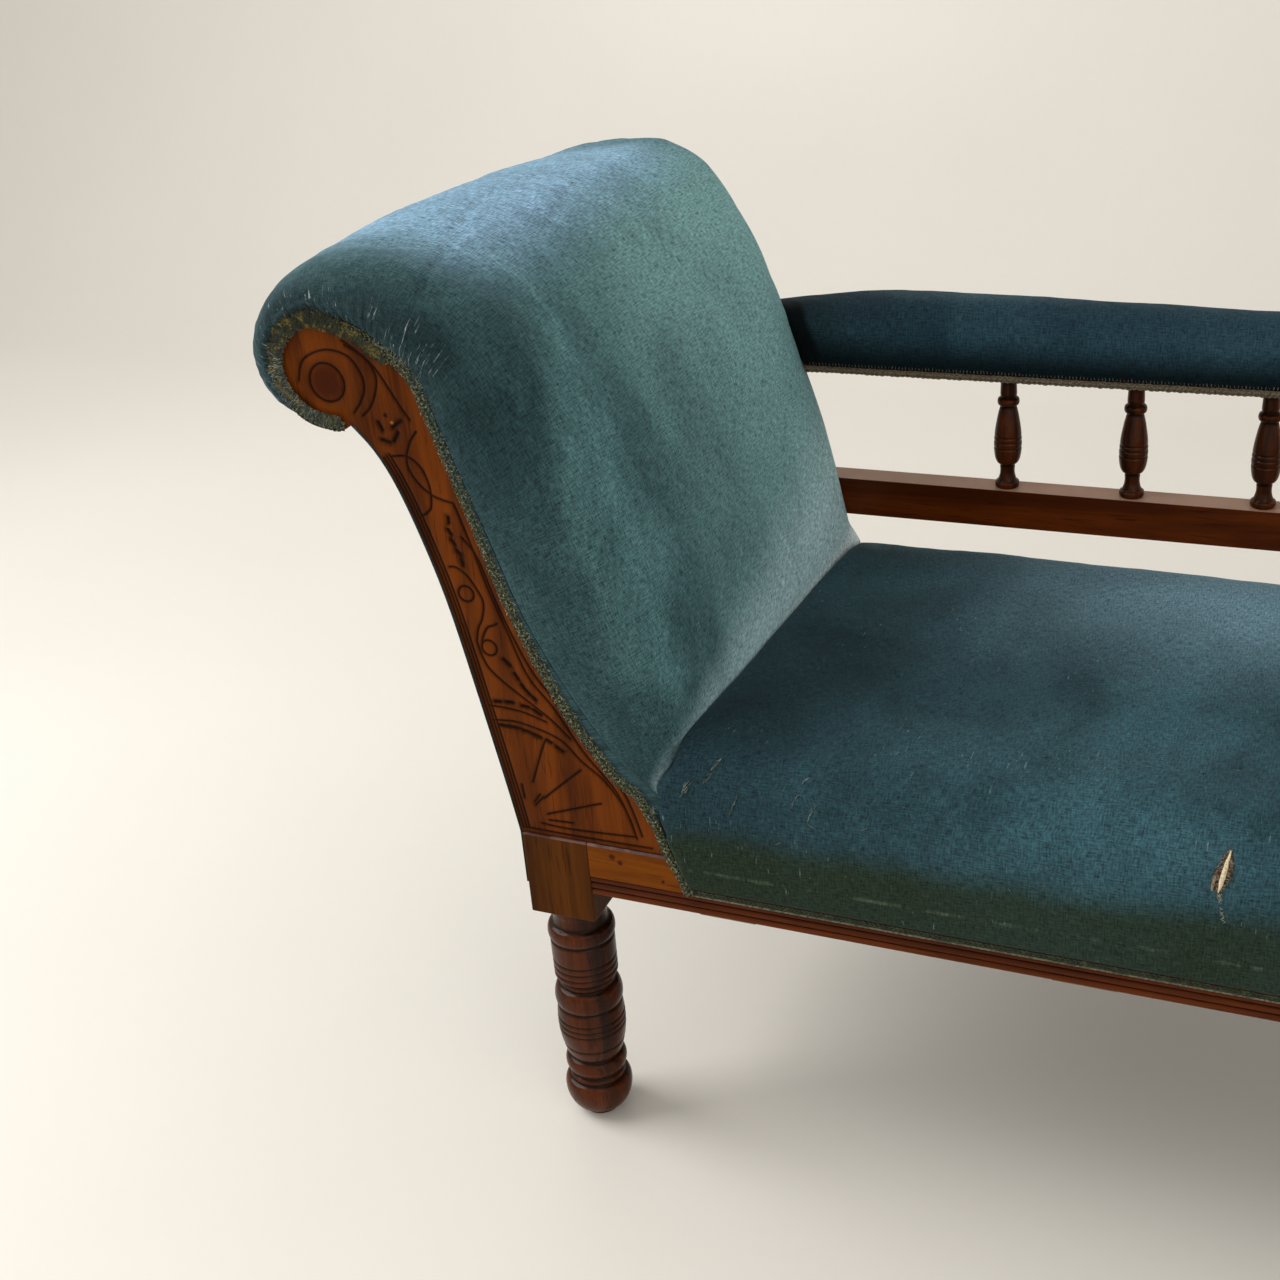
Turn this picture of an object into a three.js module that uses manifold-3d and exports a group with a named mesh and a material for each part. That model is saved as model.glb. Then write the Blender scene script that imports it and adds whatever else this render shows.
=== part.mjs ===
import * as THREE from 'three';
import { mergeVertices } from 'three/addons/utils/BufferGeometryUtils.js';
import Module from 'manifold-3d';

const wasm = await Module();
wasm.setup();

// A fainting couch in millimetres, +Z up. X runs from the head end to the foot end, Y from the
// front to the back. The drawing starts under the middle of the front leg at the head end, and
// the finished group is moved so that its box stands centred on the origin.

// Frame sizes
const fitGap = 0.3;
const cutOverrun = 5;
const legSpanLength = 1500;
const legSpanDepth = 488;
const blockSize = 62;
const blockHeight = 83;
const turnedHeight = 239;
const railHeight = 54;
const railThickness = 30;
const railTenonLength = 20;
const railTenonThickness = 12;
const railTenonHeight = 34;
const crossRailHeight = 34;
const crossRailThickness = 32;
const crossRailTenon = 12;
const cornerBlockReach = 46;
const cornerBlockHeight = 32;
const reedCount = 3;
const reedDepth = 3;
const reedBandHeight = 20;

// Turned leg
const legRingRadius = 31.7;
const legSides = 12;

// Scrolled side panels of the head end
const panelThickness = 28;
const panelInset = 2;
const panelFoot = 116;
const panelSpan = 320;
const panelRise = 459;
const panelTenonLength = 16;
const panelTenonWidth = 44;
const panelTenonInset = 30;
const panelTenonThickness = 10;
const headRailTenon = 12;
const headRailTenonSize = 16;
const midRailDepth = 24;
const seatRailLift = 4;

// Upholstery of the head end
const headPadLoft = 90;
const headPadRoundOver = 55;
const headPadCrown = 5;
const headPadLip = 2;
const backCoverThickness = 2.5;

// Webbing and springs
const webbingWidth = 50;
const webbingThickness = 3;
const webbingTurnIn = 24;
const strapNesting = 0.4;
const headWebbingLong = 4;
const headWebbingCross = 4;
const seatWebbingLong = 4;
const seatWebbingCross = 9;
const dustCoverThickness = 1.2;
const springRows = 3;
const springsInRow = 6;
const springWire = 4;
const springWidth = 84;
const springWaist = 52;
const springTurns = 3;
const springHeight = 76;
const twineThickness = 3;

// Seat upholstery
const seatPadLoft = 127;
const seatPadBulge = 7;
const seatPadSkin = 2;
const seatPadFall = 30;
const seatPadCorner = 40;
const seatInsetShare = 4 / 11;

// Back gallery
const galleryReach = 1092;
const lowerRailHeight = 40;
const lowerRailThickness = 28;
const lowerRailLift = 96;
const armCoreHeight = 20;
const armCoreWidth = 66;
const galleryTenonLength = 16;
const galleryTenonThickness = 10;
const spindleLength = 121;
const spindleRadius = 13.8;
const spindlePinRadius = 5;
const spindlePinLength = 9;
const spindleCount = 7;
const firstSpindle = 271;
const lastSpindleGap = 83;
const spindleSides = 10;
const armPadWidth = 76;
const armPadHeight = 79;
const armPadRoundEnd = 30;
const endBracketThickness = 28;
const endBracketWidth = 132;
const endBracketTenon = 16;

// Trim
const gimpWidth = 12;
const gimpThickness = 2.5;
const seatGimpWidth = 6;

// Places that follow from the sizes
const railTop = turnedHeight + blockHeight;
const railBottom = railTop - railHeight;
const frontFace = -blockSize / 2;
const backFace = legSpanDepth + blockSize / 2;
const headFace = -blockSize / 2;
const footFace = legSpanLength + blockSize / 2;
const railInnerFront = frontFace + railThickness;
const railInnerBack = backFace - railThickness;
const railInnerFoot = footFace - railThickness;
const railInnerHead = headFace + railThickness;
const panelFrontOuter = frontFace + panelInset;
const panelFrontInner = panelFrontOuter + panelThickness;
const panelBackOuter = backFace - panelInset;
const panelBackInner = panelBackOuter - panelThickness;
const reedTop = railBottom + reedBandHeight;
const skirtBottom = reedTop + fitGap + seatGimpWidth;
const seatBottom = skirtBottom + fitGap;
const springBase = railBottom + fitGap;
const springCeiling = springBase + springHeight + fitGap;
const seatPadInset = (backFace - frontFace) * seatInsetShare;
const galleryMiddle = backFace - panelInset - panelThickness / 2;
const lowerRailBottom = railTop + lowerRailLift;
const lowerRailTop = lowerRailBottom + lowerRailHeight;
const armBottom = lowerRailTop + spindleLength;
const armCoreTop = armBottom + armCoreHeight;
const armPadBottom = armBottom + gimpWidth + fitGap;
const armPadTop = armBottom + armPadHeight;
const bracketMiddle = galleryReach + endBracketWidth / 2;
const spindlePitch = (galleryReach - lastSpindleGap - firstSpindle) / (spindleCount - 1);
const armPadEnd = galleryReach + endBracketWidth - armPadRoundEnd / 2;
const armCoreEnd = armPadEnd - armPadRoundEnd;

// Materials
const showWood = { color: 0x6e3a17, roughness: 0.42 };
const turnedWood = { color: 0x45200f, roughness: 0.3 };
const hiddenWood = { color: 0x9a7a52, roughness: 0.75 };
const velvet = { color: 0x2c4f5a, roughness: 0.9 };
const paleVelvet = { color: 0x41686c, roughness: 0.88 };
const braid = { color: 0x6b6a33, roughness: 0.95 };
const jute = { color: 0x9b8358, roughness: 0.95 };
const blackCloth = { color: 0x25221f, roughness: 0.95 };
const springSteel = { color: 0x6f6a63, roughness: 0.45, metalness: 0.9 };

const couch = new THREE.Group();

// Solids and meshes
function solidFrom(geometry) {
  const bare = geometry.clone();
  bare.deleteAttribute('normal');
  bare.deleteAttribute('uv');
  const merged = mergeVertices(bare);
  const source = merged.index.array;
  const triVerts = [];
  for (let i = 0; i < source.length; i += 3) {
    const [a, b, c] = [source[i], source[i + 1], source[i + 2]];
    if (a !== b && b !== c && c !== a) triVerts.push(a, b, c);
  }
  const mesh = new wasm.Mesh({
    numProp: 3,
    vertProperties: new Float32Array(merged.attributes.position.array),
    triVerts: new Uint32Array(triVerts),
  });
  return new wasm.Manifold(mesh);
}

function geometryFrom(solid) {
  const mesh = solid.getMesh();
  const geometry = new THREE.BufferGeometry();
  geometry.setAttribute('position', new THREE.BufferAttribute(new Float32Array(mesh.vertProperties), 3));
  geometry.setIndex(new THREE.BufferAttribute(new Uint32Array(mesh.triVerts), 1));
  return geometry;
}

function addPiece(name, solid, finish) {
  const mesh = new THREE.Mesh(geometryFrom(solid), new THREE.MeshStandardMaterial({ ...finish }));
  mesh.name = name;
  couch.add(mesh);
  return mesh;
}

// Boards cut from an outline: in the XZ plane, in the YZ plane and in plan
const sideOn = new THREE.Matrix4().makeBasis(
  new THREE.Vector3(1, 0, 0), new THREE.Vector3(0, 0, 1), new THREE.Vector3(0, -1, 0));
const endOn = new THREE.Matrix4().makeBasis(
  new THREE.Vector3(0, 1, 0), new THREE.Vector3(0, 0, 1), new THREE.Vector3(1, 0, 0));

function extruded(points, depth) {
  return new THREE.ExtrudeGeometry(new THREE.Shape(points), { depth, bevelEnabled: false, steps: 1 });
}

function boardAlongY(points, y0, y1) {
  return solidFrom(extruded(points, y1 - y0).applyMatrix4(sideOn).translate(0, y1, 0));
}

function barAlongX(points, x0, x1) {
  return solidFrom(extruded(points, x1 - x0).applyMatrix4(endOn).translate(x0, 0, 0));
}

function slabAlongZ(points, z0, z1) {
  return solidFrom(extruded(points, z1 - z0).translate(0, 0, z0));
}

function box([x0, y0, z0], [x1, y1, z1]) {
  const geometry = new THREE.BoxGeometry(x1 - x0, y1 - y0, z1 - z0);
  return solidFrom(geometry.translate((x0 + x1) / 2, (y0 + y1) / 2, (z0 + z1) / 2));
}

function grownBox([x0, y0, z0], [x1, y1, z1], grow) {
  return box([x0 - grow, y0 - grow, z0 - grow], [x1 + grow, y1 + grow, z1 + grow]);
}

function turned(profile, sides) {
  const points = profile.map(([radius, height]) => new THREE.Vector2(radius, height));
  return solidFrom(new THREE.LatheGeometry(points, sides).rotateX(Math.PI / 2));
}

function joined(solids) {
  return solids.reduce((whole, next) => whole.add(next));
}

function cut(solid, cutters) {
  return cutters.reduce((rest, cutter) => rest.subtract(cutter), solid);
}

function mirroredInDepth(solid) {
  return solid.mirror([0, 1, 0]).translate([0, legSpanDepth, 0]);
}

// Closed body between two grids of points with the same rows and columns
function closedGrid(outer, inner) {
  const rows = outer.length;
  const columns = outer[0].length;
  const positions = [...outer.flat(), ...inner.flat()].flatMap((p) => [p.x, p.y, p.z]);
  const index = [];
  const outerAt = (i, j) => i * columns + j;
  const innerAt = (i, j) => rows * columns + outerAt(i, j);
  const quad = (a, b, c, d) => index.push(a, b, c, a, c, d);
  for (let i = 0; i < rows - 1; i += 1) {
    for (let j = 0; j < columns - 1; j += 1) {
      quad(outerAt(i, j), outerAt(i, j + 1), outerAt(i + 1, j + 1), outerAt(i + 1, j));
      quad(innerAt(i, j), innerAt(i + 1, j), innerAt(i + 1, j + 1), innerAt(i, j + 1));
    }
    quad(outerAt(i, 0), outerAt(i + 1, 0), innerAt(i + 1, 0), innerAt(i, 0));
    const last = columns - 1;
    quad(outerAt(i + 1, last), outerAt(i, last), innerAt(i, last), innerAt(i + 1, last));
  }
  for (let j = 0; j < columns - 1; j += 1) {
    quad(outerAt(0, j + 1), outerAt(0, j), innerAt(0, j), innerAt(0, j + 1));
    quad(outerAt(rows - 1, j), outerAt(rows - 1, j + 1), innerAt(rows - 1, j + 1), innerAt(rows - 1, j));
  }
  const geometry = new THREE.BufferGeometry();
  geometry.setAttribute('position', new THREE.Float32BufferAttribute(positions, 3));
  geometry.setIndex(index);
  return solidFrom(geometry);
}

// Stack of rings with the same number of points, closed flat at both ends. Each ring is drawn
// flat and lies at its own level; place turns flat x, flat y and level into a point.
const upwards = (x, y, level) => [x, y, level];
const alongX = (y, z, level) => [level, y, z];

function ringStack(rings, place) {
  const count = rings[0].length;
  const positions = rings.flat().flatMap((p) => place(p.x, p.y, p.z));
  const index = [];
  for (let k = 0; k < rings.length - 1; k += 1) {
    for (let i = 0; i < count; i += 1) {
      const next = (i + 1) % count;
      const [a, b] = [k * count + i, k * count + next];
      index.push(a, b, b + count, a, b + count, a + count);
    }
  }
  const contour = (ring) => ring.map((p) => new THREE.Vector2(p.x, p.y));
  const lastStart = (rings.length - 1) * count;
  for (const [a, b, c] of THREE.ShapeUtils.triangulateShape(contour(rings[0]), [])) index.push(a, c, b);
  for (const [a, b, c] of THREE.ShapeUtils.triangulateShape(contour(rings.at(-1)), [])) {
    index.push(lastStart + a, lastStart + b, lastStart + c);
  }
  const geometry = new THREE.BufferGeometry();
  geometry.setAttribute('position', new THREE.Float32BufferAttribute(positions, 3));
  geometry.setIndex(index);
  return solidFrom(geometry);
}

// Scrolled edge that carries the head upholstery, from the seat up and round the scroll.
// Each row: share of the span towards the head end, share of the rise above the rails, and the
// loft of the stuffing there, along X and Z, as shares of the full loft.
const headEdgeShares = [
  [0.000, 0.000, 0.00, 0.00],
  [0.006, 0.020, 0.00, 0.00],
  [0.034, 0.120, 0.02, 0.03],
  [0.116, 0.166, 0.31, 0.16],
  [0.216, 0.257, 0.59, 0.19],
  [0.313, 0.366, 0.79, 0.31],
  [0.391, 0.479, 0.88, 0.39],
  [0.450, 0.601, 0.88, 0.43],
  [0.500, 0.702, 0.78, 0.57],
  [0.550, 0.808, 0.62, 0.59],
  [0.588, 0.887, 0.40, 0.60],
  [0.631, 0.926, 0.20, 0.60],
  [0.684, 0.952, 0.08, 0.56],
  [0.734, 0.976, -0.06, 0.47],
  [0.803, 0.991, -0.12, 0.38],
  [0.881, 1.000, -0.20, 0.24],
  [0.963, 0.967, -0.22, 0.22],
  [1.000, 0.917, -0.30, 0.12],
  [0.988, 0.858, -0.36, 0.02],
  [0.919, 0.806, -0.38, -0.02],
  [0.819, 0.791, -0.20, -0.03],
];
const edgeSpans = headEdgeShares.length - 1;
const edgeSamples = edgeSpans * 2;
const padStartShare = 2 / edgeSpans;
const headEdge = new THREE.SplineCurve(headEdgeShares.map(([along, up]) =>
  new THREE.Vector2(panelFoot - panelSpan * along, railTop + panelRise * up)));
const headLoft = new THREE.SplineCurve(headEdgeShares.map(([, , x, z]) =>
  new THREE.Vector2(headPadLoft * x, headPadLoft * z)));

// Outer, bare edge of the panel, from the block up to the tuck under the scroll.
// Each row: share of the lean out past the block, share of the rise above the rails.
const outerEdgeShares = [
  [0.000, 0.000],
  [0.037, 0.096],
  [0.157, 0.283],
  [0.324, 0.462],
  [0.472, 0.580],
  [0.657, 0.688],
  [0.824, 0.756],
  [1.000, 0.802],
];
const tuckShare = 0.797;
const outerLean = headFace - (panelFoot - panelSpan * tuckShare);
const outerEdge = new THREE.SplineCurve(outerEdgeShares.map(([lean, up]) =>
  new THREE.Vector2(headFace - outerLean * lean, railTop + panelRise * up)));

function offsetPoint(curve, t, offset) {
  const along = curve.getTangent(t);
  return curve.getPoint(t).add(new THREE.Vector2(along.y, -along.x).multiplyScalar(offset));
}

function curveShares(from, to, steps) {
  return Array.from({ length: steps + 1 }, (_, i) => from + (to - from) * i / steps);
}

function edgeLine(offset, from = 0, to = 1) {
  const steps = Math.round((to - from) * edgeSamples);
  return curveShares(from, to, steps).map((t) => offsetPoint(headEdge, t, offset));
}

function outerLine(offset) {
  return curveShares(0, 1, edgeSpans).map((t) => offsetPoint(outerEdge, t, -offset));
}

function panelOutline(grow) {
  return [...edgeLine(grow), ...outerLine(grow).reverse()];
}

// Strip that follows the scrolled edge between two depths below it
function edgeStrip(near, far, from, to) {
  return [...edgeLine(-near, from, to), ...edgeLine(-far, from, to).reverse()];
}

// Turned legs with their square blocks
const legProfileShares = [
  [0.000, 0.000], [0.480, 0.000], [0.490, 0.017], [0.700, 0.030], [0.880, 0.058], [0.985, 0.095],
  [0.990, 0.130], [0.900, 0.165], [0.770, 0.190], [0.770, 0.206], [0.905, 0.232], [0.905, 0.260],
  [0.815, 0.282], [0.830, 0.315], [0.900, 0.360], [0.965, 0.405], [1.000, 0.460], [0.985, 0.522],
  [0.925, 0.534], [1.000, 0.552], [1.000, 0.592], [0.900, 0.622], [0.800, 0.645], [0.910, 0.672],
  [0.930, 0.700], [0.930, 0.820], [0.860, 0.838], [0.965, 0.854], [0.965, 0.890], [0.840, 0.912],
  [0.780, 0.940],
];

function turnedLegProfile() {
  const rows = legProfileShares.map(([radius, height]) => [legRingRadius * radius, turnedHeight * height]);
  const neck = rows.at(-1)[0];
  return [...rows, [neck, turnedHeight + cutOverrun], [0, turnedHeight + cutOverrun]];
}

function railTenonBox(along, grow) {
  const middle = frontFace + railThickness / 2;
  const [y0, y1] = [middle - railTenonThickness / 2, middle + railTenonThickness / 2];
  const z0 = railBottom + (railHeight - railTenonHeight) / 2;
  const low = [blockSize / 2 - railTenonLength, y0, z0];
  const high = [blockSize / 2 + cutOverrun, y1, z0 + railTenonHeight];
  const tenon = grownBox(low, high, grow);
  return along === 'x' ? tenon : tenon.mirror([1, -1, 0]);
}

function legWithBlock() {
  const half = blockSize / 2;
  const block = box([-half, -half, turnedHeight], [half, half, railTop]);
  return cut(turned(turnedLegProfile(), legSides).add(block),
    [railTenonBox('x', fitGap), railTenonBox('y', fitGap)]);
}

// The four corners in turn, each a quarter turn on from the one before
const corners = [
  ['front_head', 0, 0], ['front_foot', legSpanLength, 0],
  ['back_foot', legSpanLength, legSpanDepth], ['back_head', 0, legSpanDepth],
];

function addAtCorners(name, solid, finish) {
  corners.forEach(([corner, x, y], quarterTurns) => {
    const mesh = addPiece(`${name}_${corner}`, solid, finish);
    mesh.position.set(x, y, 0);
    mesh.rotation.z = quarterTurns * Math.PI / 2;
  });
}

function addLegs() {
  const leg = legWithBlock();
  addAtCorners('leg', leg, turnedWood);
}

// Seat rails: section of a rail lying along X with its show face at the lower Y
function railSection(reeded) {
  const [y0, y1] = [frontFace, railInnerFront];
  const plainSides = [[y1, railBottom], [y1, railTop], [y0, railTop]];
  const reed = reedBandHeight / reedCount;
  const reeds = Array.from({ length: reedCount }, (_, i) => reedTop - reed * i).flatMap((top) => [
    [y0 + reedDepth, top], [y0 + reedDepth / 3, top - reed / 4], [y0 + reedDepth / 3, top - reed * 3 / 4],
  ]);
  const showFace = reeded ? [[y0, reedTop], ...reeds, [y0 + reedDepth, railBottom]] : [[y0, railBottom]];
  return [...plainSides, ...showFace].map(([y, z]) => new THREE.Vector2(y, z)).reverse();
}

function railBar(length, reeded) {
  const end = length - blockSize / 2 - fitGap;
  const bar = barAlongX(railSection(reeded), blockSize / 2 + fitGap, end);
  const tenon = railTenonBox('x', 0);
  const farTenon = tenon.mirror([1, 0, 0]).translate([length, 0, 0]);
  return joined([bar, tenon, farTenon]);
}

function crossRailMiddle() {
  const starts = springColumns();
  const after = springsInRow / 2;
  return (starts[after - 1] + springWidth + starts[after]) / 2;
}

function crossRailTenonBox(grow) {
  const x = crossRailMiddle();
  const half = crossRailThickness / 4;
  const quarter = crossRailHeight / 4;
  return grownBox([x - half, railInnerFront - crossRailTenon, railBottom + quarter],
    [x + half, railInnerBack + crossRailTenon, railBottom + 3 * quarter], grow);
}

function panelTenonBox(grow) {
  const middle = (panelFrontOuter + panelFrontInner) / 2;
  const x0 = panelFoot - panelTenonWidth - panelTenonInset;
  return grownBox([x0, middle - panelTenonThickness / 2, railTop - panelTenonLength],
    [x0 + panelTenonWidth, middle + panelTenonThickness / 2, railTop + cutOverrun], grow);
}

function addRails() {
  const sockets = [crossRailTenonBox(fitGap), panelTenonBox(fitGap)];
  addPiece('front_rail', cut(railBar(legSpanLength, true), sockets), showWood);
  const back = mirroredInDepth(cut(railBar(legSpanLength, false), [panelTenonBox(fitGap)]));
  addPiece('back_rail', cut(back, [crossRailTenonBox(fitGap), endBracketTenonBox(fitGap)]), showWood);
  addPiece('head_rail', railBar(legSpanDepth, false).mirror([1, -1, 0]), hiddenWood);
  const foot = railBar(legSpanDepth, true).mirror([1, -1, 0]).mirror([1, 0, 0]);
  addPiece('foot_rail', foot.translate([legSpanLength, 0, 0]), showWood);
  const x = crossRailMiddle();
  const half = crossRailThickness / 2;
  const bar = box([x - half, railInnerFront + fitGap, railBottom],
    [x + half, railInnerBack - fitGap, railBottom + crossRailHeight]);
  addPiece('cross_rail', bar.add(crossRailTenonBox(0)), hiddenWood);
}

function addCornerBlocks() {
  const [inner, edge] = [railInnerFront + fitGap, blockSize / 2 + fitGap];
  const far = edge + cornerBlockReach;
  const outline = [[edge, inner], [far, inner], [inner, far], [inner, edge], [edge, edge]]
    .map(([x, y]) => new THREE.Vector2(x, y));
  const bottom = railBottom + (railHeight - cornerBlockHeight) / 2;
  const block = slabAlongZ(outline, bottom, bottom + cornerBlockHeight);
  addAtCorners('corner_block', block, hiddenWood);
}

// Rails between the two side panels, each given as an outline and the middle of its tenon
const seatRailShares = [padStartShare, 3.5 / edgeSpans];
const midRailShares = [6 / edgeSpans, 7.5 / edgeSpans];
const scrollRailShares = [10 / edgeSpans, 1];
const behindWebbing = webbingThickness + fitGap;
// Depth below the scrolled edge that a cutter for the head upholstery reaches
const headPadInside = behindWebbing + midRailDepth;

function headSeatRailOutline() {
  const top = edgeLine(-behindWebbing, ...seatRailShares);
  const base = railTop + seatRailLift;
  return [new THREE.Vector2(top.at(-1).x, base), new THREE.Vector2(top[0].x, base), ...top];
}

const headRails = [
  { name: 'head_seat_rail', outline: headSeatRailOutline() },
  { name: 'head_mid_rail', outline: edgeStrip(behindWebbing, headPadInside, ...midRailShares) },
  { name: 'scroll_rail', outline: edgeLine(-behindWebbing, ...scrollRailShares) },
];

function outlineMiddle(outline) {
  const corners = new THREE.Box2().setFromPoints(outline);
  return corners.getCenter(new THREE.Vector2());
}

function headRailTenonBox(rail, grow) {
  const middle = outlineMiddle(rail.outline);
  const half = headRailTenonSize / 2;
  return grownBox([middle.x - half, panelFrontInner - headRailTenon, middle.y - half],
    [middle.x + half, panelBackInner + headRailTenon, middle.y + half], grow);
}

function addHeadRails() {
  for (const rail of headRails) {
    const bar = boardAlongY(rail.outline, panelFrontInner + fitGap, panelBackInner - fitGap);
    const through = boardAlongY(rail.outline, panelFrontOuter, panelBackOuter);
    addPiece(rail.name, bar.add(through.intersect(headRailTenonBox(rail, 0))), hiddenWood);
  }
}

function addSidePanels() {
  const outline = panelOutline(0).map((p) => new THREE.Vector2(p.x, Math.max(p.y, railTop + fitGap)));
  const board = boardAlongY(outline, panelFrontOuter, panelFrontInner).add(panelTenonBox(0));
  const sockets = headRails.map((rail) => headRailTenonBox(rail, fitGap));
  addPiece('side_panel_front', cut(board, sockets), showWood);
  const gallerySockets = [lowerRailTenonBox(fitGap), armCoreTenonBox(fitGap)];
  addPiece('side_panel_back', cut(mirroredInDepth(board), [...sockets, ...gallerySockets]), showWood);
}

// Webbing of the head end: long straps along the edge and thinner cross straps inside them
const headWebbingSamples = [5, 24];
const crossStrapSamples = 2;

function spacedStarts(from, to, count, width) {
  const gap = (to - from - count * width) / (count + 1);
  return Array.from({ length: count }, (_, i) => from + gap + i * (width + gap));
}

function addHeadWebbing() {
  const [from, to] = headWebbingSamples;
  const [y0, y1] = [panelFrontInner + fitGap, panelBackInner - fitGap];
  const strip = edgeStrip(0, webbingThickness, from / edgeSamples, to / edgeSamples);
  const longStraps = spacedStarts(y0, y1, headWebbingLong, webbingWidth)
    .map((y) => boardAlongY(strip, y, y + webbingWidth));
  const crossStraps = spacedStarts(from, to, headWebbingCross, crossStrapSamples).map(Math.round).map((k) => {
    const shares = [k / edgeSamples, (k + crossStrapSamples) / edgeSamples];
    return boardAlongY(edgeStrip(strapNesting, webbingThickness - strapNesting, ...shares), y0, y1);
  });
  addPiece('head_webbing', joined([...longStraps, ...crossStraps]), jute);
}

// Head upholstery. The two shares bound the stretches where the seat and the stuffed arm meet it.
const headPadLowerShare = 6 / edgeSpans;
const headPadArmShares = [5 / edgeSpans, 11 / edgeSpans];

function roundOver(y) {
  const inset = Math.min(y - frontFace, backFace - y) / headPadRoundOver;
  if (inset >= 1) return 1;
  const softness = 2.3;
  return (1 - (1 - inset) ** softness) ** (1 / softness);
}

function headPadPoint(t, y, grow) {
  const loft = headLoft.getPoint(t);
  const across = 2 * (y - frontFace) / (backFace - frontFace) - 1;
  const crown = headPadCrown * (1 - across ** 2) * Math.min(1, loft.length() / headPadRoundOver);
  const skin = offsetPoint(headEdge, t, fitGap + headPadLip + crown + grow);
  skin.addScaledVector(loft, roundOver(y));
  return new THREE.Vector3(skin.x, y, skin.y);
}

const roundOverShares = [0, 0.04, 0.16, 0.45, 1];

function headPadRows() {
  const near = roundOverShares.map((share) => frontFace + headPadRoundOver * share);
  const far = near.map((y) => frontFace + backFace - y).reverse();
  return [...near, (frontFace + backFace) / 2, ...far];
}

function headPadBody(grow, inset, from, to) {
  const rows = headPadRows();
  const steps = Math.round((to - from) * edgeSamples);
  const shares = curveShares(from, to, steps);
  const outer = shares.map((t) => rows.map((y) => headPadPoint(t, y, grow)));
  const inner = shares.map((t) => rows.map((y) => {
    const p = offsetPoint(headEdge, t, -inset);
    return new THREE.Vector3(p.x, y, p.y);
  }));
  return closedGrid(outer, inner);
}

function addHeadPad() {
  const pad = headPadBody(0, -fitGap, padStartShare, 1);
  const galleryParts = [lowerRailEnvelope(fitGap), armNeck(fitGap)];
  addPiece('head_pad', cut(pad, galleryParts), paleVelvet);
}

function addOutsideBack() {
  const near = outerLine(fitGap);
  const far = outerLine(fitGap + backCoverThickness);
  const hem = [far[0].x, near[0].x].map((x) => new THREE.Vector2(x, railBottom));
  const outline = [...hem, ...near, ...far.reverse()];
  addPiece('outside_back', boardAlongY(outline, panelFrontOuter, panelBackOuter), velvet);
}

// Seat webbing, dust cover and springs
function addSeatWebbing() {
  const top = railBottom - fitGap;
  const [x0, x1] = [railInnerHead - webbingTurnIn, railInnerFoot + webbingTurnIn];
  const [y0, y1] = [railInnerFront - webbingTurnIn, railInnerBack + webbingTurnIn];
  const edge = blockSize / 2;
  const longStraps = spacedStarts(edge, legSpanDepth - edge, seatWebbingLong, webbingWidth)
    .map((y) => box([x0, y, top - webbingThickness], [x1, y + webbingWidth, top]));
  const [low, high] = [top - webbingThickness + strapNesting, top - strapNesting];
  const crossStraps = spacedStarts(edge, legSpanLength - edge, seatWebbingCross, webbingWidth)
    .map((x) => box([x, y0, low], [x + webbingWidth, y1, high]));
  addPiece('seat_webbing', joined([...longStraps, ...crossStraps]), jute);
}

function addDustCover() {
  const top = railBottom - webbingThickness - 2 * fitGap;
  const hem = webbingTurnIn;
  const sheet = box([railInnerHead - hem, railInnerFront - hem, top - dustCoverThickness],
    [railInnerFoot + hem, railInnerBack + hem, top]);
  const notch = blockSize / 2 + fitGap;
  const notches = corners.map(([, x, y]) =>
    box([x - notch, y - notch, top - cutOverrun], [x + notch, y + notch, top + cutOverrun]));
  addPiece('dust_cover', cut(sheet, notches), blackCloth);
}

class SpringLine extends THREE.Curve {
  getPoint(t, target = new THREE.Vector3()) {
    const radius = (springWidth - (springWidth - springWaist) * Math.sin(Math.PI * t)) / 2;
    const angle = springTurns * 2 * Math.PI * t;
    return target.set(radius * Math.cos(angle), radius * Math.sin(angle), (springHeight - springWire) * t);
  }
}

const coilSteps = 6;
const wireSides = 4;

function springSolid() {
  const wire = Array.from({ length: wireSides }, (_, i) => {
    const angle = 2 * Math.PI * i / wireSides;
    return new THREE.Vector2(Math.cos(angle), Math.sin(angle)).multiplyScalar(springWire / 2);
  });
  const coil = new THREE.ExtrudeGeometry(new THREE.Shape(wire),
    { steps: springTurns * coilSteps, extrudePath: new SpringLine() });
  return solidFrom(coil.translate(0, 0, springBase + springWire / 2));
}

function springColumns() {
  return spacedStarts(panelFoot, railInnerFoot, springsInRow, springWidth);
}

function addSprings() {
  const spring = springSolid();
  const top = springBase + springHeight - springWire / 2;
  const rowNames = ['front', 'middle', 'back'];
  const rowStarts = spacedStarts(railInnerFront, railInnerBack, springRows, springWidth);
  const columnStarts = springColumns();
  rowStarts.forEach((start, row) => {
    const y = start + springWidth / 2;
    const coils = columnStarts.map((x) => spring.translate([x + springWidth / 2, y, 0]));
    const twine = box([columnStarts[0] + springWidth / 2, y - twineThickness / 2, top - twineThickness],
      [columnStarts.at(-1) + springWidth, y + twineThickness / 2, top]);
    addPiece(`spring_row_${rowNames[row]}`, joined([...coils, twine]), springSteel);
  });
}

// Seat upholstery: rings of a rounded plan, from the hem up over the roll edge to the crown.
// Each row: share of the bulge outwards (or of the flat inset, when negative), share of the loft.
const seatRingShares = [
  [0.00, 0.000], [0.65, 0.180], [1.00, 0.420], [1.00, 0.650], [0.30, 0.803],
  [-0.05, 0.890], [-0.14, 0.953], [-0.28, 0.984], [-0.52, 1.000], [-1.00, 1.000],
];
const hemCornerShare = 0.1;
const cornerSteps = 4;

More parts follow.
